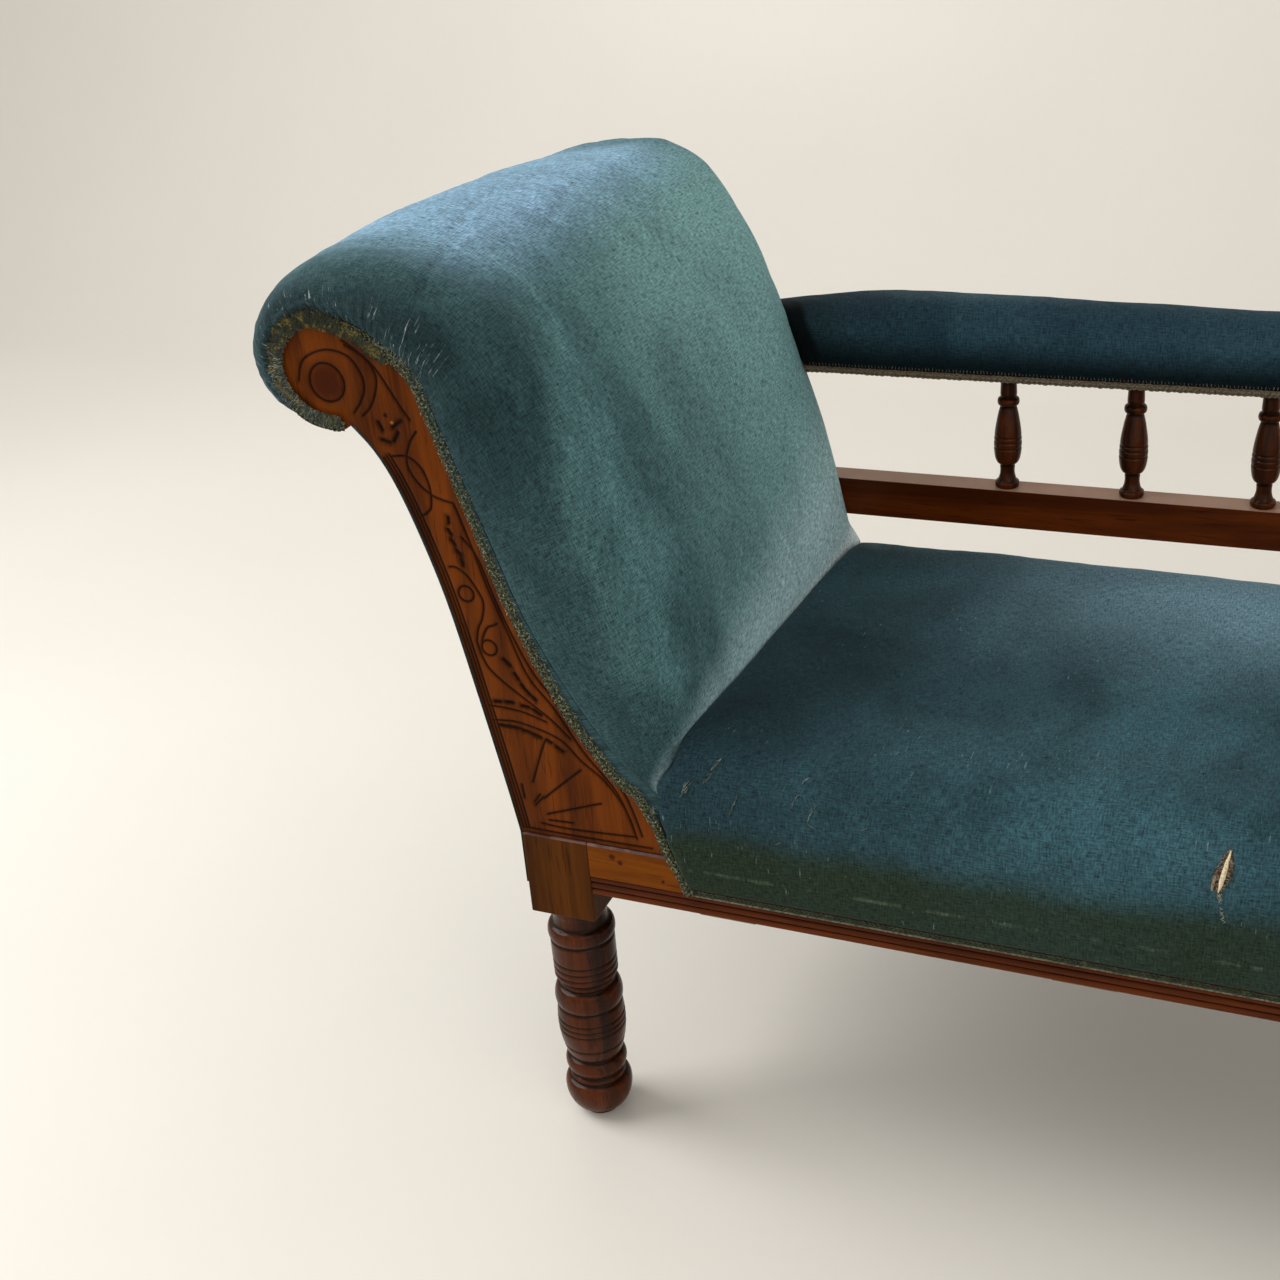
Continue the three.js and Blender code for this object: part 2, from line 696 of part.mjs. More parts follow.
function roundedPlan(x0, x1, y0, y1, radius) {
  const [left, right, front, back] = [x0 + radius, x1 - radius, y0 + radius, y1 - radius];
  const centres = [[right, front, -1], [right, back, 0], [left, back, 1], [left, front, 2]];
  return centres.flatMap(([x, y, quarter]) => curveShares(0, 1, cornerSteps).map((t) => {
    const angle = (quarter + t) * Math.PI / 2;
    return new THREE.Vector2(x + radius * Math.cos(angle), y + radius * Math.sin(angle));
  }));
}

function seatCushionBody() {
  const hem = fitGap + seatPadSkin;
  const rings = seatRingShares.map(([out, up]) => {
    const spread = out > 0 ? seatPadBulge * out : seatPadInset * out;
    const [grow, radius] = [hem + spread, seatPadCorner * Math.max(hemCornerShare, up)];
    const start = headFace - seatPadInset - grow;
    const plan = roundedPlan(start, footFace + grow, frontFace - grow, backFace + grow, radius);
    return plan.map((p) => {
      const towardsBack = Math.max(0, (p.y - frontFace) / (backFace - frontFace));
      const rise = seatPadLoft - seatPadFall * towardsBack;
      return new THREE.Vector3(p.x, p.y, seatBottom + rise * up);
    });
  });
  return ringStack(rings, upwards);
}

// Slanting end of the skirt, from the corner of the panel down to the reeding
function skirtEnd(offset, height) {
  const slant = gimpWidth / (railTop - reedTop);
  return new THREE.Vector2(panelFoot + offset + (railTop - height) * slant, height);
}

function skirtEdgeOutline() {
  const corner = edgeLine(fitGap, 0, padStartShare);
  const [low, high] = [reedTop - cutOverrun, seatBottom + seatPadLoft];
  return [
    new THREE.Vector2(headFace - cutOverrun, low), skirtEnd(fitGap, low), ...corner,
    new THREE.Vector2(corner.at(-1).x, high), new THREE.Vector2(headFace - cutOverrun, high),
  ];
}

function addSeatPad() {
  const skirt = skirtEdgeOutline();
  const head = headPadBody(fitGap, headPadInside, 0, headPadLowerShare);
  const leftOf = headSeatRailOutline()[1].x + fitGap;
  const cutters = [
    box([headFace - 2 * seatPadInset, frontFace - blockSize, 0], [leftOf, backFace + blockSize, armPadTop]),
    head,
    boardAlongY(skirt, frontFace - blockSize, panelFrontInner + fitGap),
    boardAlongY(skirt, panelBackInner - fitGap, backFace + blockSize),
    boardAlongY(panelOutline(fitGap), panelFrontOuter - fitGap, panelFrontInner + fitGap),
    boardAlongY(panelOutline(fitGap), panelBackInner - fitGap, panelBackOuter + fitGap),
    box([headFace, frontFace - fitGap, 0], [footFace + fitGap, backFace + fitGap, railTop + fitGap]),
    box([headFace, railInnerFront, 0], [railInnerFoot, railInnerBack, springCeiling]),
    endBracketHole(),
  ];
  addPiece('seat_pad', cut(seatCushionBody(), cutters), velvet);
}

// Back gallery
function headEdgeAt(height) {
  const samples = edgeLine(fitGap, 0, scrollRailShares[0]);
  const above = samples.findIndex((p) => p.y > height);
  const [low, high] = [samples[above - 1], samples[above]];
  return low.x + (high.x - low.x) * (height - low.y) / (high.y - low.y);
}

function galleryBar(start, end, width, bottom, top, grow) {
  const half = width / 2;
  return grownBox([start, galleryMiddle - half, bottom], [end, galleryMiddle + half, top], grow);
}

function lowerRailEnvelope(grow) {
  const start = headEdgeAt(lowerRailTop) - panelThickness;
  return galleryBar(start, galleryReach, lowerRailThickness, lowerRailBottom, lowerRailTop, grow);
}

function lowerRailTenonBox(grow) {
  const inset = lowerRailHeight / 5;
  return galleryBar(headEdgeAt(lowerRailTop) - galleryTenonLength, bracketMiddle + galleryTenonLength,
    galleryTenonThickness, lowerRailBottom + inset, lowerRailTop - inset, grow);
}

// The arm rail is as thin as the panel where it runs through the head upholstery
function armNeck(grow) {
  const start = headEdgeAt(armCoreTop) - panelThickness;
  return galleryBar(start, galleryReach, panelThickness, armBottom, armCoreTop, grow);
}

function armCoreTenonBox(grow) {
  const inset = armCoreHeight / 4;
  return galleryBar(headEdgeAt(armCoreTop) - galleryTenonLength, galleryReach,
    galleryTenonThickness, armBottom + inset, armCoreTop - inset, grow);
}

function armCoreBox(grow) {
  return galleryBar(headEdgeAt(armCoreTop), armCoreEnd, armCoreWidth, armBottom, armCoreTop, grow);
}

function backPanelCutter() {
  return boardAlongY(panelOutline(fitGap), panelBackInner - blockSize, backFace + blockSize);
}

function spindlePins(grow) {
  const places = Array.from({ length: spindleCount }, (_, i) => firstSpindle + i * spindlePitch);
  const [low, high] = [lowerRailTop - spindlePinLength - grow, armBottom + spindlePinLength + grow];
  const radius = spindlePinRadius + grow;
  const pin = turned([[0, low], [radius, low], [radius, high], [0, high]], spindleSides);
  return places.map((x) => pin.translate([x, galleryMiddle, 0]));
}

// Spindle profile from the lower rail up: share of the radius, share of the length
const spindleProfileShares = [
  [0.72, 0.000], [0.80, 0.035], [0.78, 0.080], [0.58, 0.100], [0.62, 0.132], [0.41, 0.200],
  [0.70, 0.265], [0.92, 0.330], [1.00, 0.430], [0.90, 0.540], [0.60, 0.665], [0.48, 0.694],
  [0.74, 0.740], [0.43, 0.782], [0.57, 1.000],
];

function addSpindles() {
  const stem = spindleProfileShares.map(([radius, height]) =>
    [spindleRadius * radius, lowerRailTop + fitGap + (spindleLength - 2 * fitGap) * height]);
  const foot = [[0, lowerRailTop - spindlePinLength], [spindlePinRadius, lowerRailTop - spindlePinLength],
    [spindlePinRadius, lowerRailTop + fitGap]];
  const head = [[spindlePinRadius, armBottom - fitGap], [spindlePinRadius, armBottom + spindlePinLength],
    [0, armBottom + spindlePinLength]];
  const spindle = turned([...foot, ...stem, ...head], spindleSides);
  for (let i = 0; i < spindleCount; i += 1) {
    const mesh = addPiece(`spindle_${i + 1}`, spindle, turnedWood);
    mesh.position.set(firstSpindle + i * spindlePitch, galleryMiddle, 0);
  }
}

function addGalleryRails() {
  const pins = spindlePins(fitGap);
  const panel = backPanelCutter();
  const bracket = endBracketBoard(0);
  const toBracket = galleryBar(headEdgeAt(lowerRailBottom), bracketMiddle, lowerRailThickness,
    lowerRailBottom, lowerRailTop, 0);
  const lower = cut(toBracket, [panel, bracket, bracket.translate([-fitGap, 0, 0])]);
  addPiece('gallery_lower_rail', cut(lower.add(lowerRailTenonBox(0)), pins), showWood);
  const core = joined([cut(armCoreBox(0), headCutters()), cut(armNeck(0), [panel]), armCoreTenonBox(0)]);
  addPiece('gallery_arm_rail', cut(core, [...pins, endBracketHead(fitGap)]), showWood);
}

// Section of the stuffed arm above its gimp: share of the half width, share of the height
const armSectionShares = [
  [0.94, 0.00], [1.00, 0.14], [1.00, 0.36], [0.97, 0.58], [0.86, 0.78], [0.64, 0.92], [0.34, 0.985],
];

// Beside the head upholstery the back of the arm is drawn in to the panel, and its far end is
// drawn in all round. Each row: share of the stretch, share of the section there.
const armTuckShares = [[0, 0.42], [0.3, 0.72], [0.65, 0.93], [1, 1]];
const armEndShares = [[0, 1], [0.45, 0.95], [0.8, 0.84], [1, 0.62]];

function armSection(level, shrink, backShare) {
  const half = armPadWidth / 2 * (1 + shrink) / 2;
  const height = (armPadTop - armPadBottom) * shrink;
  const at = (out, up) => new THREE.Vector3(galleryMiddle + half * out, armPadBottom + height * up, level);
  const back = armSectionShares.map(([out, up]) => at(out * backShare, up));
  const front = armSectionShares.map(([out, up]) => at(-out, up)).reverse();
  return [...back, at(0, 1), ...front];
}

function armPadBody() {
  const start = headEdgeAt(armPadTop);
  const tuck = armTuckShares.map(([along, share]) => armSection(start + headPadLoft * along, 1, share));
  const end = armEndShares.map(([along, share]) =>
    armSection(armPadEnd - armPadRoundEnd * (1 - along), share, 1));
  return ringStack([...tuck, ...end], alongX);
}

// The wide core and its gimp stop at the full loft of the head upholstery
function headPadBeyondEdge() {
  const outline = curveShares(...headPadArmShares, edgeSpans).map((t) => {
    const p = headPadPoint(t, (frontFace + backFace) / 2, fitGap);
    return new THREE.Vector2(p.x, p.z);
  });
  const inside = edgeLine(-headPadInside, ...headPadArmShares).reverse();
  return boardAlongY([...outline, ...inside], galleryMiddle, backFace + blockSize);
}

function headCutters() {
  return [headPadBody(fitGap, headPadInside, ...headPadArmShares), headPadBeyondEdge(), backPanelCutter()];
}

function addArmPad() {
  const head = headPadBody(fitGap, headPadInside, ...headPadArmShares);
  const core = cut(armCoreBox(fitGap), [headPadBeyondEdge()]);
  addPiece('gallery_pad', cut(armPadBody(), [head, backPanelCutter(), core, armNeck(fitGap)]), velvet);
}

// Shaped bracket that carries the far end of the gallery on the back rail
const bracketShares = [
  [0.10, 0.00], [0.90, 0.00], [0.92, 0.06], [0.66, 0.18], [0.54, 0.34], [0.60, 0.52], [0.80, 0.70],
  [1.00, 0.82], [1.00, 0.94], [0.90, 1.00], [0.06, 1.00], [0.00, 0.92], [0.02, 0.78], [0.14, 0.60],
  [0.16, 0.40], [0.10, 0.22], [0.02, 0.08],
];

function endBracketBoard(grow) {
  const [z0, height] = [railTop + fitGap, armBottom - railTop - 2 * fitGap];
  const outline = bracketShares.map(([along, up]) =>
    new THREE.Vector2(galleryReach + endBracketWidth * along, z0 + height * up));
  const half = endBracketThickness / 2 + grow;
  return boardAlongY(outline, galleryMiddle - half, galleryMiddle + half);
}

function endBracketTenonBox(grow) {
  const half = galleryTenonThickness / 2;
  const quarter = endBracketWidth / 4;
  return grownBox([bracketMiddle - quarter, galleryMiddle - half, railTop - endBracketTenon],
    [bracketMiddle + quarter, galleryMiddle + half, railTop + cutOverrun], grow);
}

function endBracketHead(grow) {
  const half = galleryTenonThickness / 2;
  const quarter = endBracketWidth / 4;
  return grownBox([bracketMiddle - quarter, galleryMiddle - half, armBottom - cutOverrun],
    [bracketMiddle, galleryMiddle + half, armBottom + armCoreHeight / 2], grow);
}

function endBracketHole() {
  const board = endBracketBoard(fitGap);
  const sideways = [-fitGap, fitGap].map((x) => board.translate([x, 0, 0]));
  return joined([...sideways, board.translate([0, 0, -fitGap])]);
}

function addEndBracket() {
  const board = joined([endBracketBoard(0), endBracketTenonBox(0), endBracketHead(0)]);
  addPiece('gallery_end_bracket', cut(board, [lowerRailTenonBox(fitGap)]), showWood);
}

// Gimp braids. On the head end the braid steps out where it crosses from the panel to the rail.
function headGimpSolid() {
  const edge = edgeLine(0).filter((p) => p.y >= railTop);
  const inside = edgeLine(-gimpWidth).filter((p) => p.y >= railTop);
  const onPanel = panelFrontOuter - fitGap;
  const onRail = frontFace - fitGap;
  const strip = boardAlongY([...edge, ...inside.reverse()], onPanel - gimpThickness, onPanel);
  const top = railTop + gimpWidth;
  const low = reedTop + fitGap;
  const step = [skirtEnd(-gimpWidth, low), skirtEnd(0, low), skirtEnd(0, railTop), edge[1],
    new THREE.Vector2(edge[1].x - gimpWidth, top), skirtEnd(-gimpWidth, railTop)];
  return strip.add(boardAlongY(step, onRail - gimpThickness, onRail));
}

function seatGimpSolid() {
  const [low, high] = [reedTop + fitGap, reedTop + fitGap + seatGimpWidth];
  const start = skirtEnd(fitGap, low).x;
  const around = (out) => [[start, frontFace - out], [footFace + out, frontFace - out],
    [footFace + out, backFace + out], [start, backFace + out]];
  const plan = [...around(fitGap + gimpThickness), ...around(fitGap).reverse()];
  return slabAlongZ(plan.map(([x, y]) => new THREE.Vector2(x, y)), low, high);
}

function addGimps() {
  const head = headGimpSolid();
  addPiece('head_gimp_front', head, braid);
  addPiece('head_gimp_back', mirroredInDepth(head), braid);
  addPiece('seat_gimp', seatGimpSolid(), braid);
  const side = armCoreWidth / 2 + fitGap;
  const start = headEdgeAt(armCoreTop);
  const cutters = headCutters();
  const strip = (y0, y1) =>
    cut(box([start, y0, armBottom], [armCoreEnd, y1, armBottom + gimpWidth]), cutters);
  addPiece('gallery_gimp_front', strip(galleryMiddle - side - gimpThickness, galleryMiddle - side), braid);
  addPiece('gallery_gimp_back', strip(galleryMiddle + side, galleryMiddle + side + gimpThickness), braid);
}

addLegs();
addRails();
addCornerBlocks();
addHeadRails();
addSidePanels();
addHeadWebbing();
addHeadPad();
addOutsideBack();
addSeatWebbing();
addDustCover();
addSprings();
addSeatPad();
addGalleryRails();
addSpindles();
addArmPad();
addEndBracket();
addGimps();

// Stand the couch on the floor with the middle of its box over the origin
couch.updateMatrixWorld(true);
const bounds = new THREE.Box3().setFromObject(couch);
const middle = bounds.getCenter(new THREE.Vector3());
couch.position.set(-middle.x, -middle.y, -bounds.min.z);

export default couch;
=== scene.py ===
import bpy
import bmesh
import math
import numpy as np
from mathutils import Matrix, Vector, kdtree
from mathutils.bvhtree import BVHTree
from mathutils.geometry import delaunay_2d_cdt, tessellate_polygon


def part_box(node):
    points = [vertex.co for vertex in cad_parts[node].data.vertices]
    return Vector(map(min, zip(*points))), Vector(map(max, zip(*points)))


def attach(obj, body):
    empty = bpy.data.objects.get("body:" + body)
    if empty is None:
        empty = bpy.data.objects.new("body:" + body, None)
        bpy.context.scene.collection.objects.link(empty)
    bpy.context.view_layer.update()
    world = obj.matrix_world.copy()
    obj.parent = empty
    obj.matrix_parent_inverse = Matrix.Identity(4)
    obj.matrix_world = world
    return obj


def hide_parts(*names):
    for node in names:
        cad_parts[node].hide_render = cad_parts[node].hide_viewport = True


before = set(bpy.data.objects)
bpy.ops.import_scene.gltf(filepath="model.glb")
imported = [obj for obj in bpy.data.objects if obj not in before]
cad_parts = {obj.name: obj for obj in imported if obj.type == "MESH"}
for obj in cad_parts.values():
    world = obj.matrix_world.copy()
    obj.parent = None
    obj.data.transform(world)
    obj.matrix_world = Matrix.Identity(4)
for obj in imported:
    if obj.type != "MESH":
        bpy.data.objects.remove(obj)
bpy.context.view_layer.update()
scene = bpy.context.scene
mm = 0.001

# Lengths are in millimetres from the floor under the middle of the front leg at the head end,
# with X towards the foot end, Y towards the back and Z up. Meshes are in metres.
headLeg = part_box("leg_front_head")
start = np.array(((headLeg[0].x + headLeg[1].x) / 2, (headLeg[0].y + headLeg[1].y) / 2, 0.0))


def boxOf(node):
    low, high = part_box(node)
    return (np.array(low) - start) / mm, (np.array(high) - start) / mm


def middleOf(node):
    low, high = boxOf(node)
    return (low + high) / 2


# Faces of the frame that the pieces are set against
railTop = boxOf("front_rail")[1][2]
railBottom = boxOf("front_rail")[0][2]
frontFace = boxOf("front_rail")[0][1]
backFace = boxOf("back_rail")[1][1]
footFace = boxOf("foot_rail")[1][0]
legSpanLength = middleOf("leg_front_foot")[0]
legSpanDepth = middleOf("leg_back_head")[1]
headFace = legSpanLength - footFace
blockHalf = -headFace
railThickness = boxOf("front_rail")[1][1] - frontFace
panelOuter = boxOf("side_panel_front")[0][1]
panelInner = boxOf("side_panel_front")[1][1]
armCoreLow, armCoreHigh = boxOf("gallery_arm_rail")
lowerRailHigh = boxOf("gallery_lower_rail")[1]
galleryMiddle = middleOf("spindle_1")[1]
seatGimpLow, seatGimpHigh = boxOf("seat_gimp")
fitGap = 0.3
arrisBand = 1.3  # height of the rubbed edge with a painted highlight at the top of blocks and rails
rayStart = 60.0  # how far in front of the couch a ray starts that looks for a piece's face
lookBackFrom = 900.0  # X from which a ray looks for the head end
print("couch: frame loaded")


def toBack(points):  # mirrored to the back of the couch
    return points * (1, -1, 1) + (0, legSpanDepth, 0)


# Smooth lines, grids and shells

def throughPoints(points, shares):  # smooth line through points, at shares of its spans
    points = np.asarray(points, float)
    at = np.clip(np.asarray(shares, float), 0, 1) * (len(points) - 1)
    span = np.minimum(at.astype(int), len(points) - 2)
    w = (at - span)[:, None]
    p0, p1, p2, p3 = (points[np.clip(span + k, 0, len(points) - 1)] for k in (-1, 0, 1, 2))
    v0, v1 = (p2 - p0) / 2, (p3 - p1) / 2
    return (2 * p1 - 2 * p2 + v0 + v1) * w ** 3 + (3 * p2 - 3 * p1 - 2 * v0 - v1) * w ** 2 + v0 * w + p1


def lengthsAlong(points):
    steps = np.linalg.norm(np.diff(points, axis=0), axis=1)
    return np.concatenate(([0.0], np.cumsum(steps)))


def evenly(points, spacing):  # the same line with points at an even spacing
    lengths = lengthsAlong(points)
    count = max(2, int(round(lengths[-1] / spacing)) + 1)
    places = np.linspace(0, lengths[-1], count)
    return np.stack([np.interp(places, lengths, column) for column in np.asarray(points).T], axis=1)


def smoothLine(points, spacing):
    return evenly(throughPoints(points, np.linspace(0, 1, 12 * len(points))), spacing)


def step(low, high, values):  # soft step from 0 at low to 1 at high
    share = np.clip((np.asarray(values, float) - low) / (high - low), 0, 1)
    return share * share * (3 - 2 * share)


def softened(values, width):  # running average with soft ends, width in samples
    reach = np.arange(-int(3 * width) - 1, int(3 * width) + 2)
    weights = np.exp(-0.5 * (reach / width) ** 2)
    padded = np.pad(values, len(reach) // 2, mode="edge")
    return np.convolve(padded, weights / weights.sum(), mode="valid")


def lumps(points, size, seed):  # smooth random heights from -1 to 1, about one lump each size
    cells = np.asarray(points, float) / size
    low = np.floor(cells).astype(np.int64)
    part = cells - low
    part = part * part * (3 - 2 * part)
    total = np.zeros(len(cells))
    for corner in np.ndindex(2, 2, 2):
        node = low + np.array(corner)
        code = node[:, 0] * 73856093 ^ node[:, 1] * 19349663 ^ node[:, 2] * 83492791 ^ seed * 2654435761
        code = (code ^ (code >> 13)) * 1274126177 & 0x7FFFFFFF
        code = (code ^ (code >> 16)) * 668265263 & 0x7FFFFFFF
        weight = np.prod(np.where(np.array(corner) == 1, part, 1 - part), axis=1)
        total += weight * (code / 0x3FFFFFFF - 1)
    return total


def gridFaces(rows, columns, first=0):
    corner = first + np.arange((rows - 1) * columns).reshape(rows - 1, columns)[:, :-1].ravel()
    return np.stack((corner, corner + 1, corner + columns + 1, corner + columns), axis=1).tolist()


def tubeFaces(rings, sides):  # closed shell of rings, with a lid at both ends
    faces = [(k * sides + i, k * sides + (i + 1) % sides, (k + 1) * sides + (i + 1) % sides, (k + 1) * sides + i)
             for k in range(rings - 1) for i in range(sides)]
    return faces + [tuple(range(sides)), tuple((rings - 1) * sides + i for i in range(sides))]


def waysAlong(line):  # unit vectors along a line
    along = np.gradient(line, axis=0)
    return along / np.linalg.norm(along, axis=1)[:, None]


def linked(name, data):  # a new object of the scene
    made = bpy.data.objects.new(name, data)
    scene.collection.objects.link(made)
    return made


def meshPiece(name, points, faces, unrolled=None, smooth=True):
    mesh = bpy.data.meshes.new(name)
    mesh.from_pydata((start + np.asarray(points, float) * mm).tolist(), [], [tuple(face) for face in faces])
    if unrolled is not None:
        layer = mesh.attributes.new("unrolled", "FLOAT_VECTOR", "POINT")
        layer.data.foreach_set("vector", (np.asarray(unrolled, float) * mm).ravel())
    work = bmesh.new()
    work.from_mesh(mesh)
    bmesh.ops.remove_doubles(work, verts=work.verts, dist=1e-6)
    bmesh.ops.recalc_face_normals(work, faces=work.faces)
    work.to_mesh(mesh)
    work.free()
    if smooth:
        mesh.shade_smooth()
    return linked(name, mesh)


def joinedShells(shells):  # several sets of points and faces as one
    points, faces, count = [], [], 0
    for shellPoints, shellFaces in shells:
        points.append(np.asarray(shellPoints, float))
        faces += [[k + count for k in face] for face in shellFaces]
        count += len(shellPoints)
    return np.concatenate(points), faces


def turnedShell(profile, sides, axis=(0.0, 0.0)):  # profile rows are radius and height
    angles = np.linspace(0, 2 * math.pi, sides, endpoint=False)
    rings = [np.stack((axis[0] + r * np.cos(angles), axis[1] + r * np.sin(angles), np.full(sides, z)), axis=1)
             for r, z in profile]
    return np.concatenate(rings), tubeFaces(len(profile), sides)


def ribbonShell(path, across, outward, width, thickness):  # flat strap lying on path
    path, across, outward = (np.asarray(rows, float) for rows in (path, across, outward))
    edge = 0.36 * thickness
    section = [(-0.5, 0.0), (-0.5, edge), (-0.44, thickness), (0.44, thickness), (0.5, edge), (0.5, 0.0)]
    rows = [path + across * width * side + outward * rise for side, rise in section]
    count, turns = len(path), len(section)
    points = np.concatenate(rows)
    faces = []
    for k in range(turns):
        after = (k + 1) % turns
        faces += [(k * count + i, k * count + i + 1, after * count + i + 1, after * count + i)
                  for i in range(count - 1)]
    faces.append(tuple(k * count for k in range(turns)))
    faces.append(tuple(k * count + count - 1 for k in range(turns)))
    return points, faces


def tubeShell(path, radius, sides):
    path = np.asarray(path, float)
    radius = np.broadcast_to(np.asarray(radius, float), (len(path),))
    along = waysAlong(path)
    side = np.cross(along[0], (0.31, 0.17, 0.93))  # any way that no path takes
    rings = []
    for place, direction, size in zip(path, along, radius):
        side = side - direction * side.dot(direction)
        side /= np.linalg.norm(side)
        over = np.cross(direction, side)
        rings.append([place + size * (side * math.cos(a) + over * math.sin(a))
                      for a in np.linspace(0, 2 * math.pi, sides, endpoint=False)])
    return np.concatenate(rings), tubeFaces(len(path), sides)


def chamferedBox(low, high, chamfer):
    work = bmesh.new()
    bmesh.ops.create_cube(work, size=1)
    low, high = np.asarray(low, float), np.asarray(high, float)
    for vert in work.verts:
        vert.co = Vector((low + high) / 2 + np.array(vert.co) * (high - low))
    bmesh.ops.bevel(work, geom=work.edges[:] + work.verts[:], offset=chamfer, segments=2, affect="EDGES",
                    profile=0.6)
    work.verts.index_update()
    points = np.array([tuple(vert.co) for vert in work.verts])
    faces = [[vert.index for vert in face.verts] for face in work.faces]
    work.free()
    return points, faces


def applied(piece):  # the piece's modifiers made part of its mesh
    depsgraph = bpy.context.evaluated_depsgraph_get()
    mesh = bpy.data.meshes.new_from_object(
        piece.evaluated_get(depsgraph), preserve_all_data_layers=True, depsgraph=depsgraph)
    piece.modifiers.clear()
    old = piece.data
    piece.data = mesh
    mesh.name = piece.name
    bpy.data.meshes.remove(old)
    return piece


def thickened(piece, thickness):
    wall = piece.modifiers.new("cloth", "SOLIDIFY")
    wall.thickness = thickness * mm
    wall.offset = 0
    return applied(piece)


def threesOf(rows, key):  # three numbers of every row of a mesh
    flat = np.empty(len(rows) * 3, np.float32)
    rows.foreach_get(key, flat)
    return flat.reshape(-1, 3).astype(float)


def pointsOf(piece):
    return (threesOf(piece.data.vertices, "co") - start) / mm


def setPoints(piece, points):
    piece.data.vertices.foreach_set("co", (start + points * mm).ravel())
    piece.data.update()


def normalsOf(piece):
    return threesOf(piece.data.vertex_normals, "vector")


def unrolledOf(piece):
    return threesOf(piece.data.attributes["unrolled"].data, "vector") / mm


def setShares(mesh, name, shares):  # a number on every point, which the paints read
    mesh.attributes.new(name, "FLOAT", "POINT").data.foreach_set("value", np.asarray(shares, np.float32))


def treeOf(piece):  # for rays that meet the piece
    return BVHTree.FromPolygons([v.co.copy() for v in piece.data.vertices],
                                [tuple(p.vertices) for p in piece.data.polygons])


# Stuffing: the cover starts a little slim and is blown up as cloth held along its tacked edges.
# The way that each point went is softly capped.
clothing = {"frames": 20, "pressure": 4.0, "mass": 0.3, "stretch": 15.0, "bending": 0.4, "slim": 1.2,
            "slimReach": 45.0}


def stuffed(piece, held, cap):
    full = pointsOf(piece)
    tree = kdtree.KDTree(len(held))
    for k in held:
        tree.insert(full[k], int(k))
    tree.balance()
    away = np.array([tree.find(place)[2] for place in full])
    slimming = clothing["slim"] * step(0, clothing["slimReach"], away)
    before = full - normalsOf(piece) * slimming[:, None]
    setPoints(piece, before)
    group = piece.vertex_groups.new(name="tacked")
    group.add([int(k) for k in held], 1.0, "REPLACE")
    cloth = piece.modifiers.new("stuffing", "CLOTH")
    cloth.settings.quality = 4
    cloth.settings.mass = clothing["mass"]
    cloth.settings.tension_stiffness = clothing["stretch"]
    cloth.settings.compression_stiffness = clothing["stretch"]
    cloth.settings.bending_stiffness = clothing["bending"]
    cloth.settings.use_pressure = True
    cloth.settings.uniform_pressure_force = clothing["pressure"]
    cloth.settings.vertex_group_mass = "tacked"
    cloth.settings.effector_weights.gravity = 0
    cloth.collision_settings.use_collision = False
    cloth.point_cache.frame_end = clothing["frames"]
    for number in range(1, clothing["frames"] + 1):
        scene.frame_set(number)
    depsgraph = bpy.context.evaluated_depsgraph_get()
    moved = (threesOf(piece.evaluated_get(depsgraph).data.vertices, "co") - start) / mm - before
    piece.modifiers.clear()
    piece.vertex_groups.clear()
    scene.frame_set(1)
    far = np.linalg.norm(moved, axis=1)
    reached = before + moved * (cap / (cap + far))[:, None]
    setPoints(piece, reached)
    gained = ((reached - full) * normalsOf(piece)).sum(axis=1)[away > clothing["slimReach"]].mean()
    print(f"couch: {piece.name} stuffed, cloth went {far.mean():.1f} mm, gained {gained:.1f} mm on its full form")


def subdivided(piece, levels=1):
    rounder = piece.modifiers.new("rounder", "SUBSURF")
    rounder.levels = levels
    rounder.render_levels = levels
    return applied(piece)


# Node trees: a Wire is a node's output on which sums are written as sums

class Wire:
    def __init__(self, bench, socket):
        self.bench = bench
        self.socket = socket

    def sum(self, operation, *terms):
        return self.bench.node("ShaderNodeMath", {"operation": operation}, dict(enumerate(terms)))

    def __add__(self, other):
        return self.sum("ADD", self, other)

    def __sub__(self, other):
        return self.sum("SUBTRACT", self, other)

    def __rsub__(self, other):
        return self.sum("SUBTRACT", other, self)

    def __mul__(self, other):
        return self.sum("MULTIPLY", self, other)

    def __truediv__(self, other):
        return self.sum("DIVIDE", self, other)

    __radd__ = __add__
    __rmul__ = __mul__


